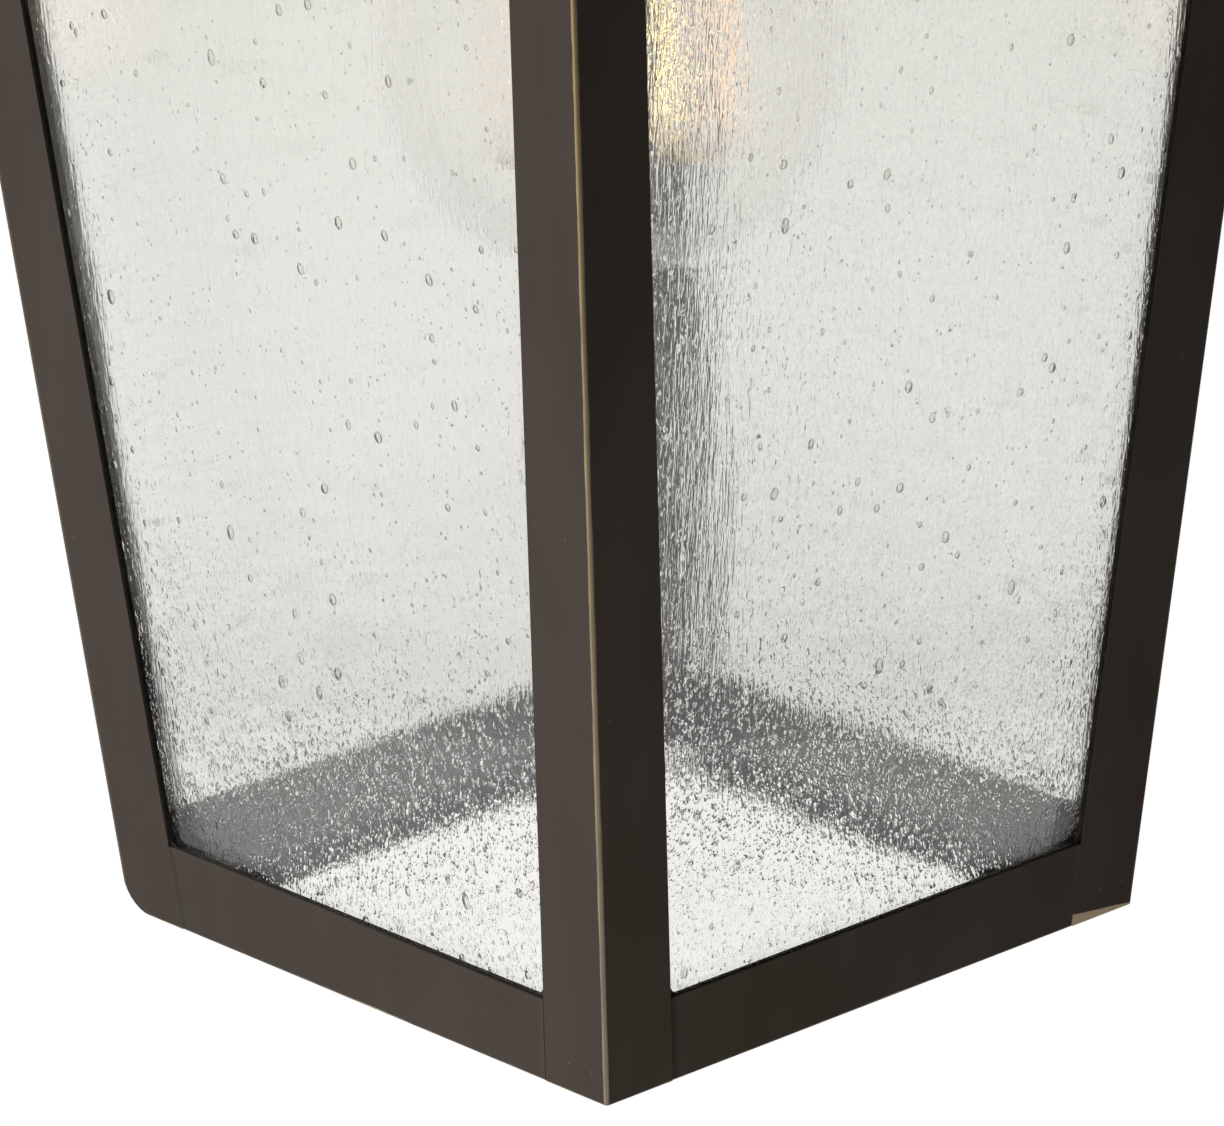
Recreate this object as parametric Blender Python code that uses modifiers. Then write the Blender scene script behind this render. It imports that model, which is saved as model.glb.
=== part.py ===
"""Outdoor wall lantern.

A four-sided glass body, open below and wider at the top, hangs with its pyramid roof from a hooked arm.
The arm stands on a wall plate, which two ball cap nuts hold against a crossbar on the wall.
Frame: metres, +Z up, +Y into the wall, origin on the wall behind the middle of the crossbar.
Body heights are measured up from the underside of the body, which lies at BODY_BASE_Z.
"""

import math

import bmesh
import bpy
from mathutils import Matrix, Vector

GAP = 0.0003  # clearance left where two pieces touch
EDGE = 0.00025  # small bevel on sheet and bar edges
SOFT = 0.0006  # rounded corner of a turned piece
WELD = 0.00001  # points closer than this are one point
CUT = 0.01  # how far a cutter reaches past what it cuts
LONG_CUT = 0.03
HOLE_SEGMENTS = 16
FINE_STEPS = 24
SMALL_STEPS = 20
TINY_STEPS = 16

# Where the body hangs
LANTERN_Y = -0.115
BODY_BASE_Z = -0.2375

# Cage
HALF_SIDE = 0.0508  # half the body's side at its base
TAPER = 0.087  # how far each side moves out for one unit of height
BODY_HEIGHT = 0.216
SHEET = 0.0008
POST_LEG = 0.0123
RAIL_HEIGHT = 0.0127
RAIL_FLANGE = 0.0095
PANE_THICKNESS = 0.003
PANE_BOTTOM = SHEET + GAP
PANE_TOP = 0.2115
CLIP_THICKNESS = 0.0008
CLIP_TOP = 0.0138
CLIP_REACH = 0.0136  # how far a clip's legs run from the body's corner

# Roof and chimney
ROOF_SHEET = 0.0012
EAVE_HALF = 0.080
EAVE_SKIRT_BOTTOM = 0.200
EAVE_Z = 0.2092
ROOF_TOP_HALF = 0.022
ROOF_TOP_Z = 0.2582
VENT_RADIUS = 0.004
VENT_OFFSET = 0.013
CHIMNEY_HALF = 0.019
CHIMNEY_WALL = 0.001
CHIMNEY_TOP = 0.2801
SLOT_WIDTH = 0.005
SLOT_BOTTOM = 0.2605
SLOT_TOP = 0.2680
SLOT_OFFSET = 0.007
CAP_HALF = 0.030
CAP_SKIRT_BOTTOM = 0.270
CAP_EAVE_Z = 0.276
CAP_TOP_HALF = 0.007
CAP_TOP_Z = 0.288
COLLAR_TOP = 0.300
COLLAR_NECK = 0.0072
COLLAR_LIP = 0.0084
COLLAR_BEAD = 0.0108
COLLAR_BEAD_Z = 0.0032  # height of the bead's widest ring above the collar's foot

# Nipple, strap and socket
NIPPLE_RADIUS = 0.00475
NIPPLE_BORE = 0.00325
NIPPLE_BOTTOM = 0.2225
NIPPLE_TOP = 0.306
NIPPLE_HOLE = 0.0051
STRAP_WIDTH = 0.019
STRAP_THICKNESS = 0.002
STRAP_TOP = 0.2335
STRAP_FLAT_HALF = 0.028
STRAP_FOOT_INNER = 0.0580
STRAP_FOOT_OUTER = 0.0665
CUP_RADIUS = 0.0203
CUP_WALL = 0.001
CUP_BOTTOM = 0.180
CUP_TOP = 0.2312
CUP_SHOULDER = 0.004
LIP_RADIUS = 0.0165
LOCKNUT_RADIUS = 0.0080
LOCKNUT_HEIGHT = 0.004
INSULATOR_RADIUS = 0.0190
INSULATOR_BORE = 0.0152
INSULATOR_BOTTOM = 0.1815
INSULATOR_FLOOR = 0.2070
INSULATOR_TOP = 0.2140
SHELL_BOTTOM = 0.1820
SHELL_TOP = 0.2066
SHELL_MEAN_RADIUS = 0.01385
SHELL_HOLE = 0.0090
SHELL_WALL = 0.0005
CONTACT_Z = 0.2043
CONTACT_RADIUS = 0.0045
CONTACT_STEM = 0.0015
CONTACT_BAR_WIDTH = 0.005
CONTACT_BAR_THICKNESS = 0.0007
CONTACT_BAR_GAP = 0.0002
TERMINAL_X = 0.010
TERMINAL_SHANK = 0.0016
TERMINAL_HEAD = 0.0034
TERMINAL_HEAD_Z = 0.2173
TERMINAL_TOP = 0.2193
TERMINAL_END = 0.2085

# Bulb: an A19 of 60 mm with a 26 mm screw cap
BULB_RADIUS = 0.0302
BULB_BOTTOM = 0.0960
BULB_CENTRE = BULB_BOTTOM + BULB_RADIUS
BULB_WALL = 0.0007
NECK_RADIUS = 0.0117
NECK_TOP = 0.186
SHOULDER_ANGLE = math.radians(38)
CAP_RIM_Z = 0.1775
THREAD_PITCH = 0.003629
THREAD_DEPTH = 0.0003
THREAD_TURNS = 5
RINGS_PER_TURN = 2  # a crest and a root
CAP_MEAN_RADIUS = 0.0128
CAP_WALL = 0.0004
CAP_CONE_Z = 0.1990
CAP_HOLE = 0.0075
TIP_RADIUS = 0.0030
TIP_Z = 0.2040
FILAMENT_ANGLE = math.radians(47.8)  # how far the filament's plane is turned from the wall
FILAMENT_OUTER = 0.0142  # how far the outer strands run from the bulb's middle
FILAMENT_INNER = 0.0072
FILAMENT_TOP_Z = 0.138
FILAMENT_LINK_Z = 0.1315  # where the arch between the inner strands springs
FILAMENT_LOW_Z = 0.111
FILAMENT_RADIUS = 0.0005
SUPPORT_RADIUS = 0.0004
STEM_PINCH_Z = 0.158
STEM_RADIUS = 0.0032
STEM_ROD_RADIUS = 0.0012
STEM_BUTTON_RADIUS = 0.0019

# Arm
ARM_RADIUS = 0.00635
ARM_WALL = 0.0012
ARM_INNER_Y = -0.011
ARM_TURN_Y = -0.030
ARM_LOWER_BEND = 0.022
ARM_RISE_Z = 0.0805  # where the upright part meets the hook, above the plate's middle
ESCUTCHEON_RADIUS = 0.0165
ESCUTCHEON_HEIGHT = 0.0058
ARM_NUT_RADIUS = 0.0110
ARM_NUT_Y = -0.0126  # its face toward the wall

# Wall plate and its fastenings
PLATE_BACK_Y = -0.0033
PLATE_SHEET = 0.0012
PLATE_HALF_WIDTH = 0.060
PLATE_HALF_HEIGHT = 0.0875
PLATE_FRONT_Y = -0.020
PLATE_ROUND = 0.010
PLATE_EDGE = 0.0004
GASKET_INSET = 0.001
GASKET_THICKNESS = 0.003
GASKET_WIDTH = 0.007
BAR_HALF_LENGTH = 0.0512
BAR_HALF_WIDTH = 0.011
BAR_THICKNESS = 0.0025
SLOT_INNER_X = 0.026
SLOT_OUTER_X = 0.038
SLOT_RADIUS = 0.0024
STUD_X = 0.047
STUD_RADIUS = 0.0021
STUD_HOLE = 0.0025
STUD_FRONT_Y = -0.031
WASHER_RADIUS = 0.0068
WASHER_THICKNESS = 0.001
NUT_RADIUS = 0.0062
NUT_BASE = 0.004
NUT_HEIGHT = 0.0142
NUT_EDGE = 0.0004
NUT_WAIST_ANGLE = 0.55  # how far below its middle the ball meets the base, in radians
WALL_CLEARANCE = 0.0002  # what screws and studs stay clear of the wall
GROUND_X = -0.017
GROUND_SCREW_RADIUS = 0.0020
GROUND_HEAD_RADIUS = 0.0045
GROUND_HEAD_HEIGHT = 0.0024

# Wires
LEAD_RADIUS = 0.0009
LEAD_OFFSET = 0.0014
GROUND_WIRE_RADIUS = 0.0008
CONNECTOR_X = 0.020
CONNECTOR_Y = -0.0102
CONNECTOR_TOP_Z = -0.026
CONNECTOR_LENGTH = 0.024
CONNECTOR_RADIUS = 0.0070
CONNECTOR_BORE = 0.0045

SIDES = ("front", "right", "back", "left")
CORNERS = ("front_left", "front_right", "back_right", "back_left")


def clear_scene():
    """Remove whatever the scene holds before building."""
    for obj in list(bpy.data.objects):
        bpy.data.objects.remove(obj)


def make_collection(name):
    """Make a collection under the scene's own."""
    group = bpy.data.collections.new(name)
    bpy.context.scene.collection.children.link(group)
    return group


def make_material(name, colour, roughness, metallic, transmission=0.0):
    """Make a Principled material."""
    mat = bpy.data.materials.new(name)
    mat.use_nodes = True
    shader = mat.node_tree.nodes["Principled BSDF"]
    shader.inputs["Base Color"].default_value = (*colour, 1.0)
    shader.inputs["Roughness"].default_value = roughness
    shader.inputs["Metallic"].default_value = metallic
    shader.inputs["Transmission Weight"].default_value = transmission
    mat.diffuse_color = (*colour, 1.0)
    return mat


def bronze(name):
    """Oil-rubbed bronze sheet and castings."""
    return make_material(name, (0.060, 0.048, 0.040), 0.5, 0.8)


def steel(name):
    """Zinc-plated steel."""
    return make_material(name, (0.62, 0.62, 0.60), 0.35, 1.0)


def brass(name):
    """Plain brass."""
    return make_material(name, (0.75, 0.55, 0.25), 0.3, 1.0)


def copper(name):
    """Bare copper."""
    return make_material(name, (0.80, 0.42, 0.28), 0.35, 1.0)


def aluminium(name):
    """Bright aluminium of the bulb's cap."""
    return make_material(name, (0.80, 0.80, 0.80), 0.3, 1.0)


def seeded_glass(name):
    """Pane glass, a little grey-green."""
    return make_material(name, (0.93, 0.95, 0.92), 0.05, 0.0, 1.0)


def clear_glass(name):
    """Bulb glass."""
    return make_material(name, (0.98, 0.98, 0.98), 0.02, 0.0, 1.0)


def porcelain(name):
    """Glazed white porcelain."""
    return make_material(name, (0.86, 0.85, 0.80), 0.25, 0.0)


def rubber(name, colour):
    """Soft plastic or rubber of the given colour."""
    return make_material(name, colour, 0.6, 0.0)


def link(name, data, mat, group):
    """Make the named node from a mesh or curve and put it in the group."""
    obj = bpy.data.objects.new(name, data)
    data.materials.append(mat)
    group.objects.link(obj)
    return obj


def on_body(obj, quarter_turns=0):
    """Stand a piece on the lantern's upright axis, turned by quarter turns."""
    obj.location = (0.0, LANTERN_Y, BODY_BASE_Z)
    obj.rotation_euler = (0.0, 0.0, quarter_turns * math.pi / 2)
    return obj


def prism(outline, depth):
    """Mesh of a flat outline in XY raised by depth along Z."""
    curve = bpy.data.curves.new("outline", "CURVE")
    curve.dimensions = "2D"
    curve.fill_mode = "BOTH"
    curve.extrude = depth / 2
    line = curve.splines.new("POLY")
    line.points.add(len(outline) - 1)
    for target, (x, y) in zip(line.points, outline):
        target.co = (x, y, 0.0, 1.0)
    line.use_cyclic_u = True
    holder = bpy.data.objects.new("outline", curve)
    bpy.context.scene.collection.objects.link(holder)
    graph = bpy.context.evaluated_depsgraph_get()
    mesh = bpy.data.meshes.new_from_object(holder.evaluated_get(graph))
    bpy.data.objects.remove(holder)
    bm = bmesh.new()
    bm.from_mesh(mesh)
    bmesh.ops.remove_doubles(bm, verts=bm.verts, dist=WELD)
    bmesh.ops.translate(bm, verts=bm.verts, vec=(0.0, 0.0, depth / 2))
    bmesh.ops.recalc_face_normals(bm, faces=bm.faces)
    bm.to_mesh(mesh)
    bm.free()
    return mesh


def across(mesh):
    """Turn a prism so that its outline lies in YZ and its depth is centred on X."""
    mesh.transform(Matrix(((0, 0, 1, 0), (1, 0, 0, 0), (0, 1, 0, 0), (0, 0, 0, 1))))
    middle = sum(v.co.x for v in mesh.vertices) / len(mesh.vertices)
    mesh.transform(Matrix.Translation((-middle, 0.0, 0.0)))
    return mesh


def box_mesh(low, high):
    """Mesh of an upright box between two corners."""
    low = Vector(low)
    high = Vector(high)
    size = high - low
    bm = bmesh.new()
    bmesh.ops.create_cube(bm, size=1.0)
    bmesh.ops.scale(bm, vec=size, verts=bm.verts)
    bmesh.ops.translate(bm, vec=(low + high) / 2, verts=bm.verts)
    mesh = bpy.data.meshes.new("box")
    bm.to_mesh(mesh)
    bm.free()
    return mesh


def lean(mesh):
    """Spread a straight piece of the body outward with height, along the taper."""
    for vertex in mesh.vertices:
        shift = TAPER * vertex.co.z
        vertex.co.x += math.copysign(shift, vertex.co.x)
        vertex.co.y += math.copysign(shift, vertex.co.y)
    return mesh


def bevel(obj, width=EDGE, segments=1):
    """Round an object's sharp edges."""
    mod = obj.modifiers.new("edges", "BEVEL")
    mod.width = width
    mod.segments = segments
    mod.limit_method = "ANGLE"
    mod.angle_limit = math.radians(35)
    return obj


def turned(name, profile, mat, group, closed=False, steps=FINE_STEPS):
    """Turn a profile of (radius, height) pairs about Z. Its outer side runs downward."""
    mesh = bpy.data.meshes.new(name)
    edges = [(i, i + 1) for i in range(len(profile) - 1)]
    if closed:
        edges.append((len(profile) - 1, 0))
    mesh.from_pydata([(r, 0.0, z) for r, z in profile], edges, [])
    obj = link(name, mesh, mat, group)
    mod = obj.modifiers.new("turn", "SCREW")
    mod.steps = steps
    mod.render_steps = steps
    mod.use_merge_vertices = True
    mod.merge_threshold = WELD
    mod.use_smooth_shade = True
    return obj


def ring_profile(outer, inner, bottom, top):
    """Closed profile of a plain ring with slightly broken edges."""
    c = EDGE
    return [
        (outer - c, top),
        (outer, top - c),
        (outer, bottom + c),
        (outer - c, bottom),
        (inner, bottom),
        (inner, top),
    ]


def face_room(obj):
    """Turn a piece's own +Z to point out of the wall, along -Y."""
    obj.rotation_euler = (math.pi / 2, 0.0, 0.0)
    return obj


def cut(obj, cutter, group):
    """Subtract the cutter from the object."""
    group.objects.link(cutter)
    cutter.hide_render = True
    cutter.display_type = "WIRE"
    mod = obj.modifiers.new("cut", "BOOLEAN")
    mod.operation = "DIFFERENCE"
    mod.solver = "EXACT"
    mod.object = cutter


def drill(obj, cutters, points, radius, depth, along_y=False):
    """Cut round holes of one size at several points of the object's own frame."""
    for index, point in enumerate(points):
        bm = bmesh.new()
        bmesh.ops.create_cone(
            bm, cap_ends=True, segments=HOLE_SEGMENTS, radius1=radius, radius2=radius, depth=depth
        )
        if along_y:
            bmesh.ops.rotate(bm, verts=bm.verts, matrix=Matrix.Rotation(math.pi / 2, 3, "X"))
        mesh = bpy.data.meshes.new("hole")
        bm.to_mesh(mesh)
        bm.free()
        cutter = bpy.data.objects.new(f"hole_{obj.name}_{index}", mesh)
        cutter.location = obj.location + Vector(point)
        cut(obj, cutter, cutters)


def cut_box(obj, cutters, low, high):
    """Cut a box given in the object's own frame."""
    cutter = bpy.data.objects.new("box_" + obj.name, box_mesh(low, high))
    cutter.location = obj.location
    cut(obj, cutter, cutters)


def wire(name, points, radius, mat, group, resolution=2):
    """Round wire or rod along points, with closed ends."""
    curve = bpy.data.curves.new(name, "CURVE")
    curve.dimensions = "3D"
    curve.bevel_depth = radius
    curve.bevel_resolution = resolution
    curve.use_fill_caps = True
    line = curve.splines.new("POLY")
    line.points.add(len(points) - 1)
    for target, point in zip(line.points, points):
        target.co = (*point, 1.0)
    return link(name, curve, mat, group)


def arc_yz(centre_y, centre_z, radius, start, end, steps):
    """Points (y, z), or (x, z), of an arc from the start angle to the end angle, both included."""
    points = []
    for i in range(steps + 1):
        angle = math.radians(start + (end - start) * i / steps)
        points.append((centre_y + radius * math.cos(angle), centre_z + radius * math.sin(angle)))
    return points


def pyramid(name, rings, sheet, mat, group):
    """Square sheet pyramid from (half width, height) pairs going up, closed on top, open below."""
    profile = [(0.0, rings[-1][1])]
    for half, z in reversed(rings):
        profile.append((half * math.sqrt(2), z))
    obj = turned(name, profile, mat, group, steps=4)
    obj.modifiers["turn"].use_smooth_shade = False
    on_body(obj)
    obj.rotation_euler = (0.0, 0.0, math.pi / 4)
    mod = obj.modifiers.new("sheet", "SOLIDIFY")
    mod.thickness = sheet
    mod.offset = -1.0
    mod.use_even_offset = True
    return obj


def build_posts(parts):
    """Four L angles, one on each corner."""
    a = HALF_SIDE
    outline = [
        (-a, -a),
        (-a + POST_LEG, -a),
        (-a + POST_LEG, -a + SHEET),
        (-a + SHEET, -a + SHEET),
        (-a + SHEET, -a + POST_LEG),
        (-a, -a + POST_LEG),
    ]
    for turns, corner in enumerate(CORNERS):
        mesh = lean(prism(outline, BODY_HEIGHT))
        post = on_body(link("post_" + corner, mesh, bronze("post_bronze"), parts), turns)
        bevel(post)


def rail_mesh(z_low, flange_low):
    """One rail of the front side, its flange at the bottom or at the top of the upright leg."""
    a = HALF_SIDE
    z_high = z_low + RAIL_HEIGHT
    if flange_low:
        outline = [
            (-a, z_low),
            (-a + RAIL_FLANGE, z_low),
            (-a + RAIL_FLANGE, z_low + SHEET),
            (-a + SHEET, z_low + SHEET),
            (-a + SHEET, z_high),
            (-a, z_high),
        ]
    else:
        outline = [
            (-a, z_low),
            (-a + SHEET, z_low),
            (-a + SHEET, z_high - SHEET),
            (-a + RAIL_FLANGE, z_high - SHEET),
            (-a + RAIL_FLANGE, z_high),
            (-a, z_high),
        ]
    half = a - POST_LEG - GAP
    return lean(across(prism(outline, 2 * half)))


def build_rails(parts):
    """Bottom and top rails between the posts."""
    for turns, side in enumerate(SIDES):
        low = link("bottom_rail_" + side, rail_mesh(0.0, True), bronze("rail_bronze"), parts)
        bevel(on_body(low, turns))
        high_mesh = rail_mesh(BODY_HEIGHT - RAIL_HEIGHT, False)
        high = link("top_rail_" + side, high_mesh, bronze("rail_bronze"), parts)
        bevel(on_body(high, turns))


def build_panes(parts):
    """Four panes behind the posts' legs, standing on the bottom flanges."""
    outer = HALF_SIDE - SHEET - GAP
    inner = outer - PANE_THICKNESS
    half = inner - GAP
    for turns, side in enumerate(SIDES):
        mesh = lean(box_mesh((-half, -outer, PANE_BOTTOM), (half, -inner, PANE_TOP)))
        pane = link("glass_pane_" + side, mesh, seeded_glass("seeded_glass"), parts)
        bevel(on_body(pane, turns))


def build_clips(parts):
    """Bent clips that keep the panes' lower corners against the cage."""
    outer = HALF_SIDE - SHEET - 2 * GAP - PANE_THICKNESS
    inner = outer - CLIP_THICKNESS
    end = HALF_SIDE - CLIP_REACH
    outline = [
        (-outer, -outer),
        (-end, -outer),
        (-end, -inner),
        (-inner, -inner),
        (-inner, -end),
        (-outer, -end),
    ]
    for turns, corner in enumerate(CORNERS):
        mesh = prism(outline, CLIP_TOP - PANE_BOTTOM)
        mesh.transform(Matrix.Translation((0.0, 0.0, PANE_BOTTOM)))
        clip = link("pane_clip_" + corner, lean(mesh), bronze("clip_bronze"), parts)
        bevel(on_body(clip, turns), EDGE / 2)


def build_roof(parts, cutters):
    """Roof with its eave skirt, a flat top with vents and a hole for the nipple."""
    rings = [(EAVE_HALF, EAVE_SKIRT_BOTTOM), (EAVE_HALF, EAVE_Z), (ROOF_TOP_HALF, ROOF_TOP_Z)]
    roof = bevel(pyramid("roof", rings, ROOF_SHEET, bronze("roof_bronze"), parts))
    drill(roof, cutters, [(0.0, 0.0, ROOF_TOP_Z)], NIPPLE_HOLE, CUT)
    vents = [
        (VENT_OFFSET, 0.0, ROOF_TOP_Z),
        (-VENT_OFFSET, 0.0, ROOF_TOP_Z),
        (0.0, VENT_OFFSET, ROOF_TOP_Z),
        (0.0, -VENT_OFFSET, ROOF_TOP_Z),
    ]
    drill(roof, cutters, vents, VENT_RADIUS, CUT)


def build_chimney(parts, cutters):
    """Square vented collar and the small cap over it."""
    low = (-CHIMNEY_HALF, -CHIMNEY_HALF, ROOF_TOP_Z + GAP)
    high = (CHIMNEY_HALF, CHIMNEY_HALF, CHIMNEY_TOP)
    collar = on_body(link("chimney_collar", box_mesh(low, high), bronze("chimney_bronze"), parts))
    bore = CHIMNEY_HALF - CHIMNEY_WALL
    cut_box(collar, cutters, (-bore, -bore, ROOF_TOP_Z - CUT), (bore, bore, CHIMNEY_TOP + CUT))
    reach = CHIMNEY_HALF + CUT
    for side in (-1, 1):
        near = side * SLOT_OFFSET - SLOT_WIDTH / 2
        far = side * SLOT_OFFSET + SLOT_WIDTH / 2
        cut_box(collar, cutters, (-reach, near, SLOT_BOTTOM), (reach, far, SLOT_TOP))
        cut_box(collar, cutters, (near, -reach, SLOT_BOTTOM), (far, reach, SLOT_TOP))
    rings = [(CAP_HALF, CAP_SKIRT_BOTTOM), (CAP_HALF, CAP_EAVE_Z), (CAP_TOP_HALF, CAP_TOP_Z)]
    cap = bevel(pyramid("chimney_cap", rings, ROOF_SHEET, bronze("cap_bronze"), parts))
    drill(cap, cutters, [(0.0, 0.0, CAP_TOP_Z)], NIPPLE_HOLE, CUT)
    base = CAP_TOP_Z + GAP
    profile = [
        (COLLAR_LIP - SOFT, COLLAR_TOP),
        (COLLAR_LIP, COLLAR_TOP - 0.0008),
        (COLLAR_LIP, COLLAR_TOP - 0.0020),
        (COLLAR_NECK, COLLAR_TOP - 0.0032),
        (COLLAR_NECK, base + COLLAR_BEAD_Z + 0.0024),
        (COLLAR_BEAD - 0.0010, base + COLLAR_BEAD_Z + 0.0014),
        (COLLAR_BEAD, base + COLLAR_BEAD_Z),
        (COLLAR_BEAD - 0.0010, base + COLLAR_BEAD_Z - 0.0014),
        (0.0080, base + 0.0010),
        (0.0076, base),
        (NIPPLE_HOLE, base),
        (NIPPLE_HOLE, COLLAR_TOP),
    ]
    on_body(turned("cap_collar", profile, bronze("collar_bronze"), parts, closed=True))


def build_strap(parts, cutters):
    """Bent strap whose feet lie under the flanges of the left and right top rails."""
    foot = BODY_HEIGHT - SHEET - GAP
    slope = math.atan2(STRAP_TOP - foot, STRAP_FOOT_INNER - STRAP_FLAT_HALF)
    shift = STRAP_THICKNESS * math.tan(slope / 2)
    upper = [(STRAP_FLAT_HALF, STRAP_TOP), (STRAP_FOOT_INNER, foot), (STRAP_FOOT_OUTER, foot)]
    lower = [
        (STRAP_FOOT_OUTER, foot - STRAP_THICKNESS),
        (STRAP_FOOT_INNER - shift, foot - STRAP_THICKNESS),
        (STRAP_FLAT_HALF - shift, STRAP_TOP - STRAP_THICKNESS),
    ]
    half_outline = upper + lower
    outline = half_outline + [(-y, z) for y, z in reversed(half_outline)]
    mesh = across(prism(outline, STRAP_WIDTH))
    strap = bevel(on_body(link("socket_strap", mesh, steel("strap_steel"), parts), 1))
    drill(strap, cutters, [(0.0, 0.0, STRAP_TOP)], NIPPLE_HOLE, CUT)


def hex_nut(name, radius, height, mat, parts):
    """Hexagonal blank standing on its own XY plane."""
    bm = bmesh.new()
    bmesh.ops.create_cone(
        bm, cap_ends=True, segments=6, radius1=radius, radius2=radius, depth=height
    )
    bmesh.ops.translate(bm, verts=bm.verts, vec=(0.0, 0.0, height / 2))
    mesh = bpy.data.meshes.new(name)
    bm.to_mesh(mesh)
    bm.free()
    return link(name, mesh, mat, parts)


def build_nipple(parts, cutters):
    """Hollow threaded nipple that ties arm, cap, roof, strap and socket together, and its locknut."""
    profile = ring_profile(NIPPLE_RADIUS, NIPPLE_BORE, NIPPLE_BOTTOM, NIPPLE_TOP)
    on_body(turned("nipple", profile, steel("nipple_steel"), parts, closed=True, steps=SMALL_STEPS))
    base = CUP_TOP - CUP_WALL - GAP - LOCKNUT_HEIGHT
    nut = hex_nut("nipple_locknut", LOCKNUT_RADIUS, LOCKNUT_HEIGHT, steel("locknut_steel"), parts)
    nut.location = (0.0, LANTERN_Y, BODY_BASE_Z + base)
    bevel(nut)
    drill(nut, cutters, [(0.0, 0.0, LOCKNUT_HEIGHT / 2)], NIPPLE_HOLE, CUT)


def build_socket(parts, cutters):
    """Socket cup, insulator, screw shell, centre contact and terminal screws."""
    r = CUP_RADIUS
    wall = CUP_WALL
    cup_profile = [
        (NIPPLE_HOLE, CUP_TOP),
        (r - CUP_SHOULDER, CUP_TOP),
        (r - 0.3 * CUP_SHOULDER, CUP_TOP - 0.3 * CUP_SHOULDER),
        (r, CUP_TOP - CUP_SHOULDER),
        (r, CUP_BOTTOM + 0.0005),
        (r - 0.0005, CUP_BOTTOM),
        (LIP_RADIUS, CUP_BOTTOM),
        (LIP_RADIUS, CUP_BOTTOM + wall),
        (r - wall, CUP_BOTTOM + wall),
        (r - wall, CUP_TOP - CUP_SHOULDER - 0.2 * wall),
        (r - 1.9 * wall, CUP_TOP - 1.9 * wall),
        (r - CUP_SHOULDER - 0.2 * wall, CUP_TOP - wall),
        (NIPPLE_HOLE, CUP_TOP - wall),
    ]
    on_body(turned("socket_cup", cup_profile, bronze("cup_bronze"), parts, closed=True))

    hole = CONTACT_STEM + GAP
    body_profile = [
        (hole, INSULATOR_TOP),
        (INSULATOR_RADIUS - SOFT, INSULATOR_TOP),
        (INSULATOR_RADIUS, INSULATOR_TOP - SOFT),
        (INSULATOR_RADIUS, INSULATOR_BOTTOM),
        (INSULATOR_BORE, INSULATOR_BOTTOM),
        (INSULATOR_BORE, INSULATOR_FLOOR),
        (hole, INSULATOR_FLOOR),
    ]
    insulator = turned("socket_insulator", body_profile, porcelain("porcelain"), parts, closed=True)
    on_body(insulator)
    spots = [(-TERMINAL_X, 0.0, INSULATOR_TOP), (TERMINAL_X, 0.0, INSULATOR_TOP)]
    drill(insulator, cutters, spots, TERMINAL_SHANK + GAP, LONG_CUT)

    shell_profile = []
    count = THREAD_TURNS * RINGS_PER_TURN
    height = THREAD_TURNS * THREAD_PITCH
    start = SHELL_TOP - 0.0016
    for i in range(count + 1):
        wave = THREAD_DEPTH * math.cos(2 * math.pi * i / RINGS_PER_TURN)
        shell_profile.append((SHELL_MEAN_RADIUS + SHELL_WALL + wave, start - height * i / count))
    for i in range(count + 1):
        wave = THREAD_DEPTH * math.cos(2 * math.pi * (count - i) / RINGS_PER_TURN)
        shell_profile.append((SHELL_MEAN_RADIUS + wave, start - height * (count - i) / count))
    shell_profile += [
        (SHELL_MEAN_RADIUS - 0.0006, SHELL_TOP - SHELL_WALL),
        (SHELL_HOLE, SHELL_TOP - SHELL_WALL),
        (SHELL_HOLE, SHELL_TOP),
        (SHELL_MEAN_RADIUS, SHELL_TOP),
    ]
    on_body(turned("socket_screw_shell", shell_profile, brass("shell_brass"), parts, closed=True))

    build_contact(parts, cutters)
    screw_profile = [
        (0.0, TERMINAL_TOP),
        (TERMINAL_HEAD - SOFT, TERMINAL_TOP),
        (TERMINAL_HEAD, TERMINAL_TOP - SOFT),
        (TERMINAL_HEAD, TERMINAL_HEAD_Z),
        (TERMINAL_SHANK, TERMINAL_HEAD_Z),
        (TERMINAL_SHANK, TERMINAL_END),
        (0.0, TERMINAL_END),
    ]
    for name, x, mat in (
        ("socket_terminal_neutral", -TERMINAL_X, steel("terminal_silver")),
        ("socket_terminal_hot", TERMINAL_X, brass("terminal_brass")),
    ):
        screw = turned(name, screw_profile, mat, parts, steps=TINY_STEPS)
        screw.location = (x, LANTERN_Y, BODY_BASE_Z)


def build_contact(parts, cutters):
    """Centre contact: a button under the floor, its stem, and a bar on top out to the hot terminal."""
    bar_low = INSULATOR_TOP + CONTACT_BAR_GAP
    bar_high = bar_low + CONTACT_BAR_THICKNESS
    profile = [
        (0.0, bar_high),
        (CONTACT_STEM, bar_high),
        (CONTACT_STEM, CONTACT_Z + 0.001),
        (CONTACT_RADIUS, CONTACT_Z + 0.0008),
        (CONTACT_RADIUS, CONTACT_Z + 0.0003),
        (CONTACT_RADIUS - 0.001, CONTACT_Z),
        (0.0, CONTACT_Z),
    ]
    contact = on_body(turned("socket_contact", profile, brass("contact_brass"), parts, steps=TINY_STEPS))
    half = CONTACT_BAR_WIDTH / 2
    low = (-half, -half, bar_low)
    high = (TERMINAL_X + half, half, bar_high)
    bar = bpy.data.objects.new("contact_bar", box_mesh(low, high))
    bar.location = contact.location
    cutters.objects.link(bar)
    bar.hide_render = True
    bar.display_type = "WIRE"
    mod = contact.modifiers.new("bar", "BOOLEAN")
    mod.operation = "UNION"
    mod.solver = "EXACT"
    mod.object = bar
    drill(contact, cutters, [(TERMINAL_X, 0.0, bar_low)], TERMINAL_SHANK + GAP, 0.004)


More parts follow.
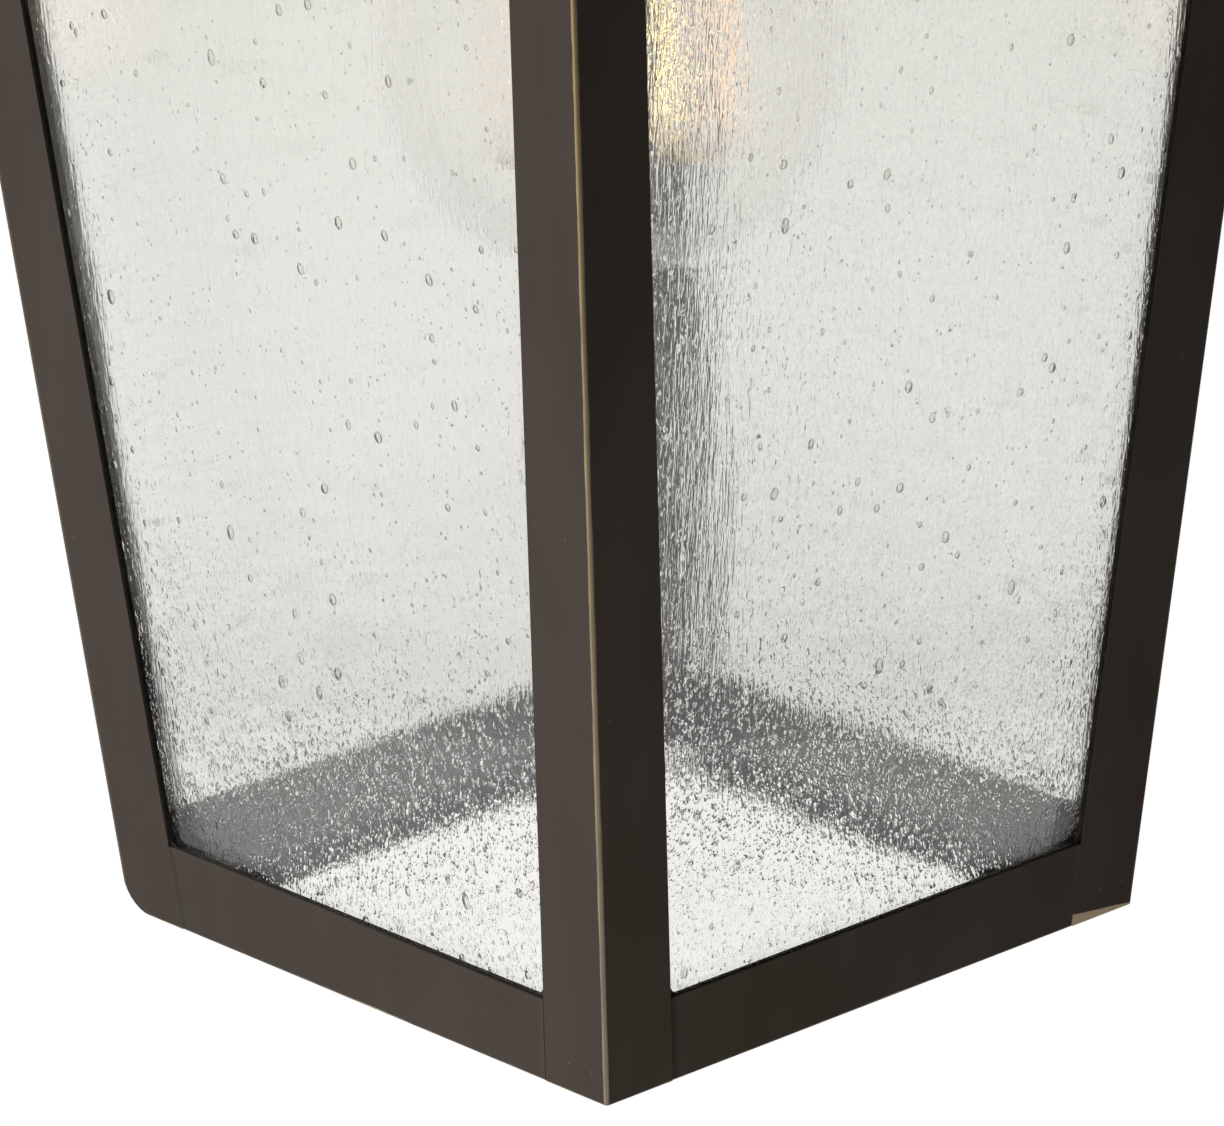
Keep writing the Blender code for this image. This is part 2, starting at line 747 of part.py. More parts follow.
def bulb_side(offset):
    """Half outline of the bulb's glass from its lowest point up to the neck, moved in by offset."""
    points = []
    radius = BULB_RADIUS - offset
    steps = 8
    for i in range(steps + 1):
        angle = -math.pi / 2 + (math.pi / 2 + SHOULDER_ANGLE) * i / steps
        points.append((radius * math.cos(angle), BULB_CENTRE + radius * math.sin(angle)))
    points[0] = (0.0, points[0][1])
    start = Vector(points[-1])
    leave = Vector((-math.sin(SHOULDER_ANGLE), math.cos(SHOULDER_ANGLE)))
    end = Vector((NECK_RADIUS - offset, CAP_RIM_Z - 0.004))
    first = start + leave * 0.014
    second = end - Vector((0.0, 0.013))
    steps = 5
    for i in range(1, steps + 1):
        t = i / steps
        point = (
            start * (1 - t) ** 3
            + first * 3 * t * (1 - t) ** 2
            + second * 3 * t**2 * (1 - t)
            + end * t**3
        )
        points.append((point.x, point.y))
    points.append((NECK_RADIUS - offset, NECK_TOP))
    return points


def on_bulb(obj):
    """Stand a piece of the bulb on the lantern's axis, turned with the filament."""
    on_body(obj)
    obj.rotation_euler = (0.0, 0.0, FILAMENT_ANGLE)
    return obj


def filament_path():
    """Middle line of the filament in (x, z): two hairpins joined by an arch between them."""
    turn = (FILAMENT_OUTER - FILAMENT_INNER) / 2
    middle = (FILAMENT_OUTER + FILAMENT_INNER) / 2
    path = [(-FILAMENT_OUTER, FILAMENT_TOP_Z)]
    path += arc_yz(-middle, FILAMENT_LOW_Z + turn, turn, 180, 360, 6)
    path += arc_yz(0.0, FILAMENT_LINK_Z, FILAMENT_INNER, 180, 0, 8)
    path += arc_yz(middle, FILAMENT_LOW_Z + turn, turn, 180, 360, 6)
    path.append((FILAMENT_OUTER, FILAMENT_TOP_Z))
    return path


def build_bulb(parts):
    """Clear bulb, hanging base-up: glass, stem, lead-in wires, filament and screw cap."""
    profile = bulb_side(BULB_WALL) + list(reversed(bulb_side(0.0)))
    on_bulb(turned("bulb_glass", profile, clear_glass("bulb_glass"), parts, steps=FINE_STEPS + 2))

    flare = NECK_RADIUS - BULB_WALL - GAP
    stem_profile = [
        (0.0, NECK_TOP - 0.0015),
        (flare, NECK_TOP - 0.0015),
        (flare, NECK_TOP - 0.0027),
        (0.0055, NECK_TOP - 0.009),
        (0.0038, NECK_TOP - 0.016),
        (STEM_RADIUS, STEM_PINCH_Z + 0.006),
        (0.0026, STEM_PINCH_Z),
        (STEM_ROD_RADIUS, STEM_PINCH_Z - 0.003),
        (STEM_ROD_RADIUS, STEM_PINCH_Z - 0.014),
        (STEM_BUTTON_RADIUS, STEM_PINCH_Z - 0.0152),
        (STEM_ROD_RADIUS, STEM_PINCH_Z - 0.0164),
        (0.0, STEM_PINCH_Z - 0.0168),
    ]
    on_bulb(turned("bulb_stem", stem_profile, clear_glass("stem_glass"), parts, steps=TINY_STEPS))

    glow = make_material("filament_tungsten", (0.95, 0.55, 0.25), 0.5, 0.5)
    route = [(x, 0.0, z) for x, z in filament_path()]
    on_bulb(wire("bulb_filament", route, FILAMENT_RADIUS, glow, parts, resolution=1))
    for name, side in (("bulb_support_left", -1), ("bulb_support_right", 1)):
        points = [
            (side * (0.0028 + SUPPORT_RADIUS + GAP), 0.0, STEM_PINCH_Z + 0.002),
            (side * 0.0060, 0.0, STEM_PINCH_Z - 0.006),
            (side * FILAMENT_OUTER, 0.0, FILAMENT_TOP_Z + 0.004),
            (side * FILAMENT_OUTER, 0.0, FILAMENT_TOP_Z + GAP),
        ]
        on_bulb(wire(name, points, SUPPORT_RADIUS, steel("support_nickel"), parts, resolution=1))

    build_cap(parts)


def build_cap(parts):
    """Screw cap with rolled thread rings, its black insulator and the solder tip."""
    count = THREAD_TURNS * RINGS_PER_TURN
    height = THREAD_TURNS * THREAD_PITCH
    top = CAP_CONE_Z - 0.0014
    outside = []
    inside = []
    for i in range(count + 1):
        wave = THREAD_DEPTH * math.cos(2 * math.pi * i / RINGS_PER_TURN)
        z = top - height * i / count
        outside.append((CAP_MEAN_RADIUS + wave, z))
        inside.append((CAP_MEAN_RADIUS - CAP_WALL + wave, z))
    rim = top - height - 0.0016
    profile = [(CAP_HOLE, CAP_CONE_Z), (CAP_MEAN_RADIUS - 0.001, CAP_CONE_Z)]
    profile += outside
    profile += [(CAP_MEAN_RADIUS + THREAD_DEPTH, rim), (CAP_MEAN_RADIUS + THREAD_DEPTH - CAP_WALL, rim)]
    profile += list(reversed(inside))
    profile += [(CAP_MEAN_RADIUS - 0.0014, CAP_CONE_Z - CAP_WALL), (CAP_HOLE, CAP_CONE_Z - CAP_WALL)]
    on_bulb(turned("bulb_cap", profile, aluminium("cap_aluminium"), parts, closed=True))

    base = CAP_CONE_Z + GAP
    ring = [
        (TIP_RADIUS + GAP, base + 0.0022),
        (TIP_RADIUS + 0.0012, base + 0.0022),
        (CAP_HOLE + 0.0010, base + 0.0006),
        (CAP_HOLE + 0.0010, base),
        (TIP_RADIUS + GAP, base),
    ]
    black = rubber("cap_insulator_black", (0.02, 0.02, 0.022))
    on_bulb(turned("bulb_cap_insulator", ring, black, parts, closed=True))
    tip = [
        (0.0, TIP_Z),
        (0.0016, TIP_Z - 0.0003),
        (TIP_RADIUS - 0.0004, TIP_Z - 0.0010),
        (TIP_RADIUS, TIP_Z - 0.0019),
        (TIP_RADIUS, base),
        (0.0, base),
    ]
    on_bulb(turned("bulb_tip", tip, steel("solder_tin"), parts, steps=SMALL_STEPS))


def arm_path():
    """Middle line of the arm in (y, z), from inside the wall plate to the collar on the cap."""
    bend_y = ARM_TURN_Y - ARM_LOWER_BEND
    hook = (bend_y - LANTERN_Y) / 2
    end_z = BODY_BASE_Z + COLLAR_TOP + GAP
    path = [(ARM_INNER_Y, 0.0)]
    path += arc_yz(ARM_TURN_Y, ARM_LOWER_BEND, ARM_LOWER_BEND, 270, 180, 6)
    path += arc_yz(LANTERN_Y + hook, ARM_RISE_Z, hook, 0, 180, 14)
    path.append((LANTERN_Y, end_z))
    return path


def build_arm(parts):
    """Hooked arm tube, its escutcheon on the wall plate and its locknut behind."""
    curve = bpy.data.curves.new("arm_tube", "CURVE")
    curve.dimensions = "3D"
    curve.bevel_depth = ARM_RADIUS
    curve.bevel_resolution = 6
    line = curve.splines.new("POLY")
    path = arm_path()
    line.points.add(len(path) - 1)
    for target, (y, z) in zip(line.points, path):
        target.co = (0.0, y, z, 1.0)
    arm = link("arm_tube", curve, bronze("arm_bronze"), parts)
    mod = arm.modifiers.new("wall", "SOLIDIFY")
    mod.thickness = ARM_WALL
    mod.offset = -1.0

    bore = ARM_RADIUS + GAP
    base = -PLATE_FRONT_Y + GAP
    r = ESCUTCHEON_RADIUS
    profile = [
        (bore, base + ESCUTCHEON_HEIGHT),
        (bore + 0.0014, base + ESCUTCHEON_HEIGHT),
        (bore + 0.0024, base + 0.0048),
        (r - 0.0050, base + 0.0036),
        (r - 0.0016, base + 0.0030),
        (r, base + 0.0018),
        (r, base),
        (bore, base),
    ]
    face_room(turned("arm_escutcheon", profile, bronze("escutcheon_bronze"), parts, closed=True))


def build_arm_locknut(parts, cutters):
    """Hexagonal locknut on the arm's end, behind the ground wire's loop."""
    nut = hex_nut("arm_locknut", ARM_NUT_RADIUS, LOCKNUT_HEIGHT, steel("arm_nut_steel"), parts)
    nut.data.transform(Matrix.Rotation(math.pi / 2, 4, "X"))
    nut.location = (0.0, ARM_NUT_Y, 0.0)
    bevel(nut)
    drill(nut, cutters, [(0.0, -LOCKNUT_HEIGHT / 2, 0.0)], ARM_RADIUS + GAP, CUT, along_y=True)


def plate_mesh():
    """Pan of the wall plate: a box open toward the wall, its front edges rounded off."""
    w = PLATE_HALF_WIDTH
    h = PLATE_HALF_HEIGHT
    mesh = box_mesh((-w, PLATE_FRONT_Y, -h), (w, PLATE_BACK_Y, h))
    bm = bmesh.new()
    bm.from_mesh(mesh)
    middle = (PLATE_FRONT_Y + PLATE_BACK_Y) / 2
    back = [face for face in bm.faces if face.normal.y > 0.5]
    bmesh.ops.delete(bm, geom=back, context="FACES_ONLY")
    front = [edge for edge in bm.edges if all(vert.co.y < middle for vert in edge.verts)]
    bmesh.ops.bevel(
        bm,
        geom=front,
        offset=PLATE_ROUND,
        offset_type="OFFSET",
        segments=4,
        profile=0.5,
        affect="EDGES",
    )
    bm.to_mesh(mesh)
    bm.free()
    return mesh


def build_plate(parts, cutters):
    """Wall plate and the gasket behind its rim."""
    w = PLATE_HALF_WIDTH
    h = PLATE_HALF_HEIGHT
    plate = link("wall_plate", plate_mesh(), bronze("plate_bronze"), parts)
    mod = plate.modifiers.new("sheet", "SOLIDIFY")
    mod.thickness = PLATE_SHEET
    mod.offset = -1.0
    mod.use_even_offset = True
    bevel(plate, PLATE_EDGE)
    studs = [(-STUD_X, PLATE_FRONT_Y, 0.0), (STUD_X, PLATE_FRONT_Y, 0.0)]
    drill(plate, cutters, studs, STUD_HOLE, CUT, along_y=True)
    drill(plate, cutters, [(0.0, PLATE_FRONT_Y, 0.0)], ARM_RADIUS + GAP, CUT, along_y=True)

    low = (-w + GASKET_INSET, -GASKET_THICKNESS, -h + GASKET_INSET)
    high = (w - GASKET_INSET, 0.0, h - GASKET_INSET)
    foam = rubber("gasket_foam", (0.03, 0.03, 0.03))
    gasket = link("wall_gasket", box_mesh(low, high), foam, parts)
    low = (low[0] + GASKET_WIDTH, -CUT, low[2] + GASKET_WIDTH)
    high = (high[0] - GASKET_WIDTH, CUT, high[2] - GASKET_WIDTH)
    cut_box(gasket, cutters, low, high)


def build_crossbar(parts, cutters):
    """Slotted crossbar with its ground screw."""
    low = (-BAR_HALF_LENGTH, -BAR_THICKNESS, -BAR_HALF_WIDTH)
    high = (BAR_HALF_LENGTH, 0.0, BAR_HALF_WIDTH)
    bar = bevel(link("crossbar", box_mesh(low, high), steel("crossbar_steel"), parts))
    for side in (-1, 1):
        ends = sorted((side * SLOT_INNER_X, side * SLOT_OUTER_X))
        cut_box(bar, cutters, (ends[0], -CUT, -SLOT_RADIUS), (ends[1], CUT, SLOT_RADIUS))
    holes = [(-STUD_X, 0.0, 0.0), (STUD_X, 0.0, 0.0)]
    drill(bar, cutters, holes, STUD_HOLE, LONG_CUT, along_y=True)
    drill(bar, cutters, [(GROUND_X, 0.0, 0.0)], GROUND_SCREW_RADIUS + GAP, LONG_CUT, along_y=True)

    head = BAR_THICKNESS + 2 * GROUND_WIRE_RADIUS + 2 * GAP
    profile = [
        (0.0, head + GROUND_HEAD_HEIGHT),
        (GROUND_HEAD_RADIUS - SOFT, head + GROUND_HEAD_HEIGHT),
        (GROUND_HEAD_RADIUS, head + GROUND_HEAD_HEIGHT - SOFT),
        (GROUND_HEAD_RADIUS, head),
        (GROUND_SCREW_RADIUS, head),
        (GROUND_SCREW_RADIUS, WALL_CLEARANCE),
        (0.0, WALL_CLEARANCE),
    ]
    green = make_material("ground_green", (0.03, 0.28, 0.08), 0.35, 0.6)
    screw = turned("ground_screw", profile, green, parts, steps=SMALL_STEPS)
    screw.location = (GROUND_X, 0.0, 0.0)
    face_room(screw)


def build_studs(parts):
    """Studs, washers and ball cap nuts that hold the wall plate to the crossbar."""
    washer_base = -PLATE_FRONT_Y + GAP
    nut_base = washer_base + WASHER_THICKNESS + GAP
    stud_end = -STUD_FRONT_Y
    bore_end = stud_end + 0.0008
    ball_top = nut_base + NUT_HEIGHT
    stud_profile = [
        (0.0, stud_end),
        (STUD_RADIUS - NUT_EDGE, stud_end),
        (STUD_RADIUS, stud_end - NUT_EDGE),
        (STUD_RADIUS, WALL_CLEARANCE),
        (0.0, WALL_CLEARANCE),
    ]
    washer_profile = ring_profile(WASHER_RADIUS, STUD_HOLE, washer_base, washer_base + WASHER_THICKNESS)
    ball = []
    steps = 6
    centre = ball_top - NUT_RADIUS
    for i in range(steps + 1):
        angle = math.pi / 2 - (math.pi / 2 + NUT_WAIST_ANGLE) * i / steps
        ball.append((NUT_RADIUS * math.cos(angle), centre + NUT_RADIUS * math.sin(angle)))
    ball[0] = (0.0, ball_top)
    nut_profile = ball + [
        (NUT_RADIUS, nut_base + NUT_BASE - SOFT),
        (NUT_RADIUS, nut_base + NUT_EDGE),
        (NUT_RADIUS - NUT_EDGE, nut_base),
        (STUD_RADIUS + GAP, nut_base),
        (STUD_RADIUS + GAP, bore_end),
        (0.0, bore_end),
    ]
    for side, x in (("left", -STUD_X), ("right", STUD_X)):
        stud = turned("stud_" + side, stud_profile, steel("stud_steel"), parts, steps=TINY_STEPS)
        dark = bronze("washer_bronze")
        washer = turned("washer_" + side, washer_profile, dark, parts, closed=True, steps=SMALL_STEPS)
        nut = turned("cap_nut_" + side, nut_profile, bronze("nut_bronze"), parts, steps=SMALL_STEPS)
        for obj in (stud, washer, nut):
            face_room(obj)
            obj.location = (x, 0.0, 0.0)


def lead_points(side):
    """Route of one lead, from its socket terminal through nipple and arm to its connector."""
    x = side * LEAD_OFFSET
    shank = TERMINAL_X - TERMINAL_SHANK - GAP
    deck = TERMINAL_HEAD_Z - GAP - LEAD_RADIUS + BODY_BASE_Z
    points = [
        (side * shank, LANTERN_Y, deck),
        (side * 0.0050, LANTERN_Y, deck),
        (side * 0.0034, LANTERN_Y, deck + 0.0008),
        (side * 0.0020, LANTERN_Y, deck + 0.0028),
        (x, LANTERN_Y, deck + 0.0056),
    ]
    points += [(x, y, z) for y, z in reversed(arm_path())]
    points += [
        (side * 0.0016, -0.0092, -0.0005),
        (side * 0.0026, -0.0077, -0.0022),
        (side * 0.0045, -0.0068, -0.0050),
        (side * 0.0120, -0.0068, -0.0140),
        (side * 0.0175, -0.0078, -0.0190),
        (side * CONNECTOR_X, CONNECTOR_Y, CONNECTOR_TOP_Z + 0.001),
        (side * CONNECTOR_X, CONNECTOR_Y, CONNECTOR_TOP_Z - 0.014),
    ]
    return points


def build_leads(parts):
    """The two leads and the twist-on connectors on their ends."""
    black = rubber("lead_black", (0.02, 0.02, 0.02))
    white = rubber("lead_white", (0.82, 0.82, 0.80))
    for name, side, mat in (("lead_hot", 1, black), ("lead_neutral", -1, white)):
        wire(name, lead_points(side), LEAD_RADIUS, mat, parts)
    r = CONNECTOR_RADIUS
    end = -CONNECTOR_LENGTH
    profile = [
        (CONNECTOR_BORE, 0.0),
        (r, 0.0),
        (r, -0.004),
        (r - 0.0012, -0.006),
        (r - 0.0030, end + 0.0015),
        (r - 0.0040, end),
        (0.0, end),
    ]
    inner = [(0.0, end + 0.004), (0.0016, end + 0.005), (CONNECTOR_BORE, -0.004)]
    for name, side in (("connector_hot", 1), ("connector_neutral", -1)):
        amber = rubber("connector_orange", (0.75, 0.22, 0.03))
        connector = turned(name, inner + profile, amber, parts, steps=SMALL_STEPS)
        connector.location = (side * CONNECTOR_X, CONNECTOR_Y, CONNECTOR_TOP_Z)


def build_ground_wire(parts):
    """Bare wire looped round the arm behind the plate and round the ground screw."""
    loop = ARM_RADIUS + GROUND_WIRE_RADIUS + 2 * GAP
    loop_y = PLATE_FRONT_Y + PLATE_SHEET + GAP + GROUND_WIRE_RADIUS
    points = []
    for i in range(17):
        angle = math.radians(-150 + 310 * i / 16)
        points.append((loop * math.cos(angle), loop_y, loop * math.sin(angle)))
    screw_loop = GROUND_SCREW_RADIUS + GROUND_WIRE_RADIUS + GAP
    screw_y = -(BAR_THICKNESS + GROUND_WIRE_RADIUS + GAP)
    points += [
        (-0.0100, loop_y, 0.0060),
        (-0.0150, -0.0145, 0.0100),
        (-0.0200, -0.0090, 0.0100),
        (-0.0215, screw_y, 0.0070),
    ]
    for i in range(11):
        angle = math.radians(150 + 280 * i / 10)
        x = GROUND_X + screw_loop * math.cos(angle)
        points.append((x, screw_y, screw_loop * math.sin(angle)))
    wire("ground_wire", points, GROUND_WIRE_RADIUS, copper("ground_copper"), parts)


def build_lantern():
    """Build every piece of the lantern."""
    clear_scene()
    parts = make_collection("outdoor_wall_lantern")
    cutters = make_collection("cutters")
    build_posts(parts)
    build_rails(parts)
    build_panes(parts)
    build_clips(parts)
    build_roof(parts, cutters)
    build_chimney(parts, cutters)
    build_strap(parts, cutters)
    build_nipple(parts, cutters)
    build_socket(parts, cutters)
    build_bulb(parts)
    build_arm(parts)
    build_arm_locknut(parts, cutters)
    build_plate(parts, cutters)
    build_crossbar(parts, cutters)
    build_studs(parts)
    build_leads(parts)
    build_ground_wire(parts)


build_lantern()
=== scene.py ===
"""Looks of the outdoor wall lantern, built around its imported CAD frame.

Frame: metres, +Z up, +Y into the wall, origin on the wall behind the middle of the crossbar.
Body heights are measured up from the underside of the glass body, at BODY_BASE_Z.
"""

import math

import bmesh
import bpy
import numpy as np
from mathutils import Matrix, Vector


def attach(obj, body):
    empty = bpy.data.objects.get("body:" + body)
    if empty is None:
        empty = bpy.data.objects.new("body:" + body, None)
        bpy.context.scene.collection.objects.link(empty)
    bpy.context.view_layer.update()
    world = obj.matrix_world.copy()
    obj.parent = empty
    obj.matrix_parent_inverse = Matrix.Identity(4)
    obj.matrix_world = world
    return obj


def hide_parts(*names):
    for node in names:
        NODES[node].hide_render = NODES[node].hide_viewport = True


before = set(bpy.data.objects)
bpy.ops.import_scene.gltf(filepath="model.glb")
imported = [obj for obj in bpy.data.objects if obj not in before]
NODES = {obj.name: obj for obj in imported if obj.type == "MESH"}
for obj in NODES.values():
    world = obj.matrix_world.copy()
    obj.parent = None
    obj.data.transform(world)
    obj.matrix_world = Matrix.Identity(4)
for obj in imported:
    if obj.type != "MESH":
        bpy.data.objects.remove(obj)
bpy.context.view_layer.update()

# The lantern's own measures, as in the CAD source
LANTERN_Y = -0.115
BODY_BASE_Z = -0.2375
HALF_SIDE = 0.0508  # half the body's width at its foot
TAPER = 0.087  # how far each side leans out, for each unit of height
BODY_HEIGHT = 0.216
SHEET = 0.0008
GAP = 0.0003
POST_LEG = 0.0123
RAIL_HEIGHT = 0.0127
RAIL_FLANGE = 0.0095
PANE_THICKNESS = 0.003
PANE_BOTTOM = SHEET + GAP
PANE_TOP = 0.2115
BULB_RADIUS = 0.0302
BULB_BOTTOM = 0.0960
BULB_WALL = 0.0004
NECK_RADIUS = 0.0117
NECK_TOP = 0.186
SHOULDER_ANGLE = math.radians(38)
CAP_RIM_Z = 0.1775
FILAMENT_ANGLE = math.radians(47.8)  # the plane of the filament, round the upright axis
FILAMENT_OUTER = 0.0142  # from the axis to the outer strands
FILAMENT_INNER = 0.0072  # from the axis to the inner strands
FILAMENT_TOP_Z = 0.138
FILAMENT_LINK_Z = 0.1315
FILAMENT_LOW_Z = 0.111

CORNERS = ("front_left", "front_right", "back_right", "back_left")
SIDES = ("front", "right", "back", "left")


# ---------------------------------------------------------------- camera and stage

VIEW_AZIMUTH = math.radians(47.78)
VIEW_ELEVATION = math.radians(18.9)
VIEW_ROLL = math.radians(1.23)
VIEW_PAN = math.radians(-0.07)
VIEW_TILT = math.radians(-0.47)
VIEW_DISTANCE = 1.0412
VIEW_LENS = 218.1  # millimetres
SENSOR_WIDTH = 36.0  # millimetres
VIEW_TARGET = Vector((0.0, LANTERN_Y, BODY_BASE_Z + 0.06096))
NEAREST_SEEN = 0.01
FARTHEST_SEEN = 60.0


def turned_pair(first, second, angle):
    """Two directions at right angles, turned by angle in their own plane."""
    along = math.cos(angle)
    aside = math.sin(angle)
    return first * along - second * aside, first * aside + second * along


def make_camera():
    """The camera in front of the body's near corner, a little above it."""
    a = VIEW_AZIMUTH
    e = VIEW_ELEVATION
    back = Vector((math.sin(a) * math.cos(e), -math.cos(a) * math.cos(e), math.sin(e)))
    right = Vector((math.cos(a), math.sin(a), 0.0))
    up = back.cross(right)
    forward = -back
    right, forward = turned_pair(right, forward, VIEW_PAN)
    up, forward = turned_pair(up, forward, VIEW_TILT)
    right, up = turned_pair(right, up, VIEW_ROLL)
    data = bpy.data.cameras.new("camera")
    data.lens = VIEW_LENS
    data.sensor_width = SENSOR_WIDTH
    data.sensor_fit = "HORIZONTAL"
    data.clip_start = NEAREST_SEEN
    data.clip_end = FARTHEST_SEEN
    camera = bpy.data.objects.new("camera", data)
    bpy.context.scene.collection.objects.link(camera)
    turn = Matrix((right, up, -forward)).transposed().to_4x4()
    camera.matrix_world = Matrix.Translation(VIEW_TARGET + back * VIEW_DISTANCE) @ turn
    bpy.context.scene.camera = camera


class Look:
    """A node tree being put together, for a material or for the world."""

    def __init__(self, name, world=False):
        if world:
            self.block = bpy.data.worlds.new(name)
            out = "ShaderNodeOutputWorld"
        else:
            self.block = bpy.data.materials.new(name)
            out = "ShaderNodeOutputMaterial"
        self.block.use_nodes = True
        self.tree = self.block.node_tree
        self.tree.nodes.clear()
        self.out = self.add(out)
        self.coord = self.add("ShaderNodeTexCoord").outputs["Generated" if world else "Object"]

    def put(self, socket, value):
        """Give a socket a value, or link it to another node's socket. None leaves it as it is."""
        if isinstance(value, bpy.types.NodeSocket):
            self.tree.links.new(value, socket)
        elif value is not None:
            if socket.type == "RGBA" and len(value) == 3:
                value = (*value, 1.0)
            socket.default_value = value

    def add(self, kind, settings=None, **inputs):
        """A node with its settings and its inputs, each a number, a colour or a node's socket."""
        node = self.tree.nodes.new(kind)
        for key, value in (settings or {}).items():
            setattr(node, key, value)
        for key, value in inputs.items():
            self.put(node.inputs[key.replace("_", " ")], value)
        return node

    def calc(self, operation, *values, clamp=False):
        """A sum of two numbers."""
        node = self.add("ShaderNodeMath", {"operation": operation, "use_clamp": clamp})
        for socket, value in zip(node.inputs, values):
            self.put(socket, value)
        return node.outputs[0]

    def vector(self, operation, *values):
        """A sum of two vectors."""
        node = self.add("ShaderNodeVectorMath", {"operation": operation})
        for socket, value in zip(node.inputs, values):
            self.put(socket, value)
        return node.outputs["Value" if operation == "DOT_PRODUCT" else "Vector"]

    def axes(self):
        """The place's x, y and z."""
        node = self.add("ShaderNodeSeparateXYZ", None, Vector=self.coord)
        return node.outputs[0], node.outputs[1], node.outputs[2]

    def noise(self, per_metre, detail=2.0, roughness=0.5, seed=0.0, at=None):
        """Noise from 0 to 1, with this many features a metre along each axis."""
        scale = per_metre if isinstance(per_metre, tuple) else (per_metre,) * 3
        where = self.vector("MULTIPLY", at or self.coord, scale)
        node = self.add(
            "ShaderNodeTexNoise",
            {"noise_dimensions": "4D"},
            Vector=where,
            W=seed,
            Scale=1.0,
            Detail=detail,
            Roughness=roughness,
        )
        return node.outputs["Fac"]

    def nearest_point(self, where, dimensions):
        """Distance to the nearest of scattered points, about one to each unit of where."""
        settings = {"voronoi_dimensions": dimensions, "feature": "F1"}
        node = self.add("ShaderNodeTexVoronoi", settings, Vector=where, Scale=1.0)
        return node.outputs["Distance"]

    def span(self, value, low, high, start=0.0, end=1.0):
        """value's place between low and high, eased, from start to end."""
        settings = {"interpolation_type": "SMOOTHSTEP", "clamp": True}
        node = self.add("ShaderNodeMapRange", settings)
        for socket, given in zip(node.inputs, (value, low, high, start, end)):
            self.put(socket, given)
        return node.outputs[0]

    def mix(self, share, a, b):
        """Colour that goes from a to b with share."""
        node = self.add("ShaderNodeMix", {"data_type": "RGBA"})
        self.put(node.inputs[0], share)
        self.put(node.inputs[6], a)
        self.put(node.inputs[7], b)
        return node.outputs[2]

    def choose(self, share, a, b):
        """Number that goes from a to b with share."""
        node = self.add("ShaderNodeMix", {"data_type": "FLOAT"})
        self.put(node.inputs[0], share)
        self.put(node.inputs[2], a)
        self.put(node.inputs[3], b)
        return node.outputs[0]

    def bump(self, height, strength=1.0):
        """Normal of a surface raised by height, in metres."""
        return self.add("ShaderNodeBump", None, Strength=strength, Distance=1.0, Height=height).outputs[0]

    def shade(self, **inputs):
        """Ends the tree in a Principled shader."""
        node = self.add("ShaderNodeBsdfPrincipled", None, **inputs)
        self.tree.links.new(node.outputs[0], self.out.inputs["Surface"])
        return self.block


FLOOR_Z = -0.78
FLOOR_HALF = 9.0
FLOOR_SHARE = 0.8  # how much of the light from below the floor gives
BODY_MIDDLE = (0.0, LANTERN_Y, BODY_BASE_Z + 0.1)
WHITE = (1.0, 1.0, 1.0)
WARM_WHITE = (1.0, 0.985, 0.965)
KEY_DIRECTION = Vector((-0.66, -0.74, 0.12)).normalized()
KEY_EDGE = 0.18  # how far round from its direction the key light reaches, as a cosine
KEY_LIGHT = 1.47
BEHIND_DIRECTION = (-0.35, 0.94, 0.0)
BEHIND_EDGE = 0.1
BEHIND_LIGHT = 0.55
FILL_LIGHT = 0.020
UNDER_LIGHT_SIZE = 0.22
UNDER_LIGHT_POWER = 0.24
UNDER_LIGHT_PLACE = Vector((0.24, -0.24, -0.36))
UNDER_LIGHT_AIM = Vector((0.02, LANTERN_Y - 0.02, BODY_BASE_Z))


def studio_light(look, direction):
    """Soft light that comes mostly from the front left, as strength for a direction."""
    toward = look.vector("DOT_PRODUCT", direction, tuple(KEY_DIRECTION))
    key = look.span(toward, KEY_EDGE, 1.0, 0.0, KEY_LIGHT)
    beyond = look.vector("DOT_PRODUCT", direction, BEHIND_DIRECTION)
    behind = look.span(beyond, BEHIND_EDGE, 1.0, 0.0, BEHIND_LIGHT)
    return look.calc("ADD", look.calc("ADD", key, behind), FILL_LIGHT)


def studio_strength(look, light):
    """Plain white where it is seen straight, through glass or mirrored in glass, and light elsewhere."""
    path = look.add("ShaderNodeLightPath").outputs
    bounces = look.calc("SUBTRACT", path["Ray Depth"], path["Transmission Depth"])
    straight = look.calc("MAXIMUM", look.calc("LESS_THAN", bounces, 0.5), path["Is Camera Ray"])
    first = look.calc("LESS_THAN", path["Diffuse Depth"], 0.5)
    mirrored = look.calc("MULTIPLY", path["Is Singular Ray"], first)
    lit = look.choose(mirrored, light, 1.0)
    return look.choose(straight, lit, 1.0)


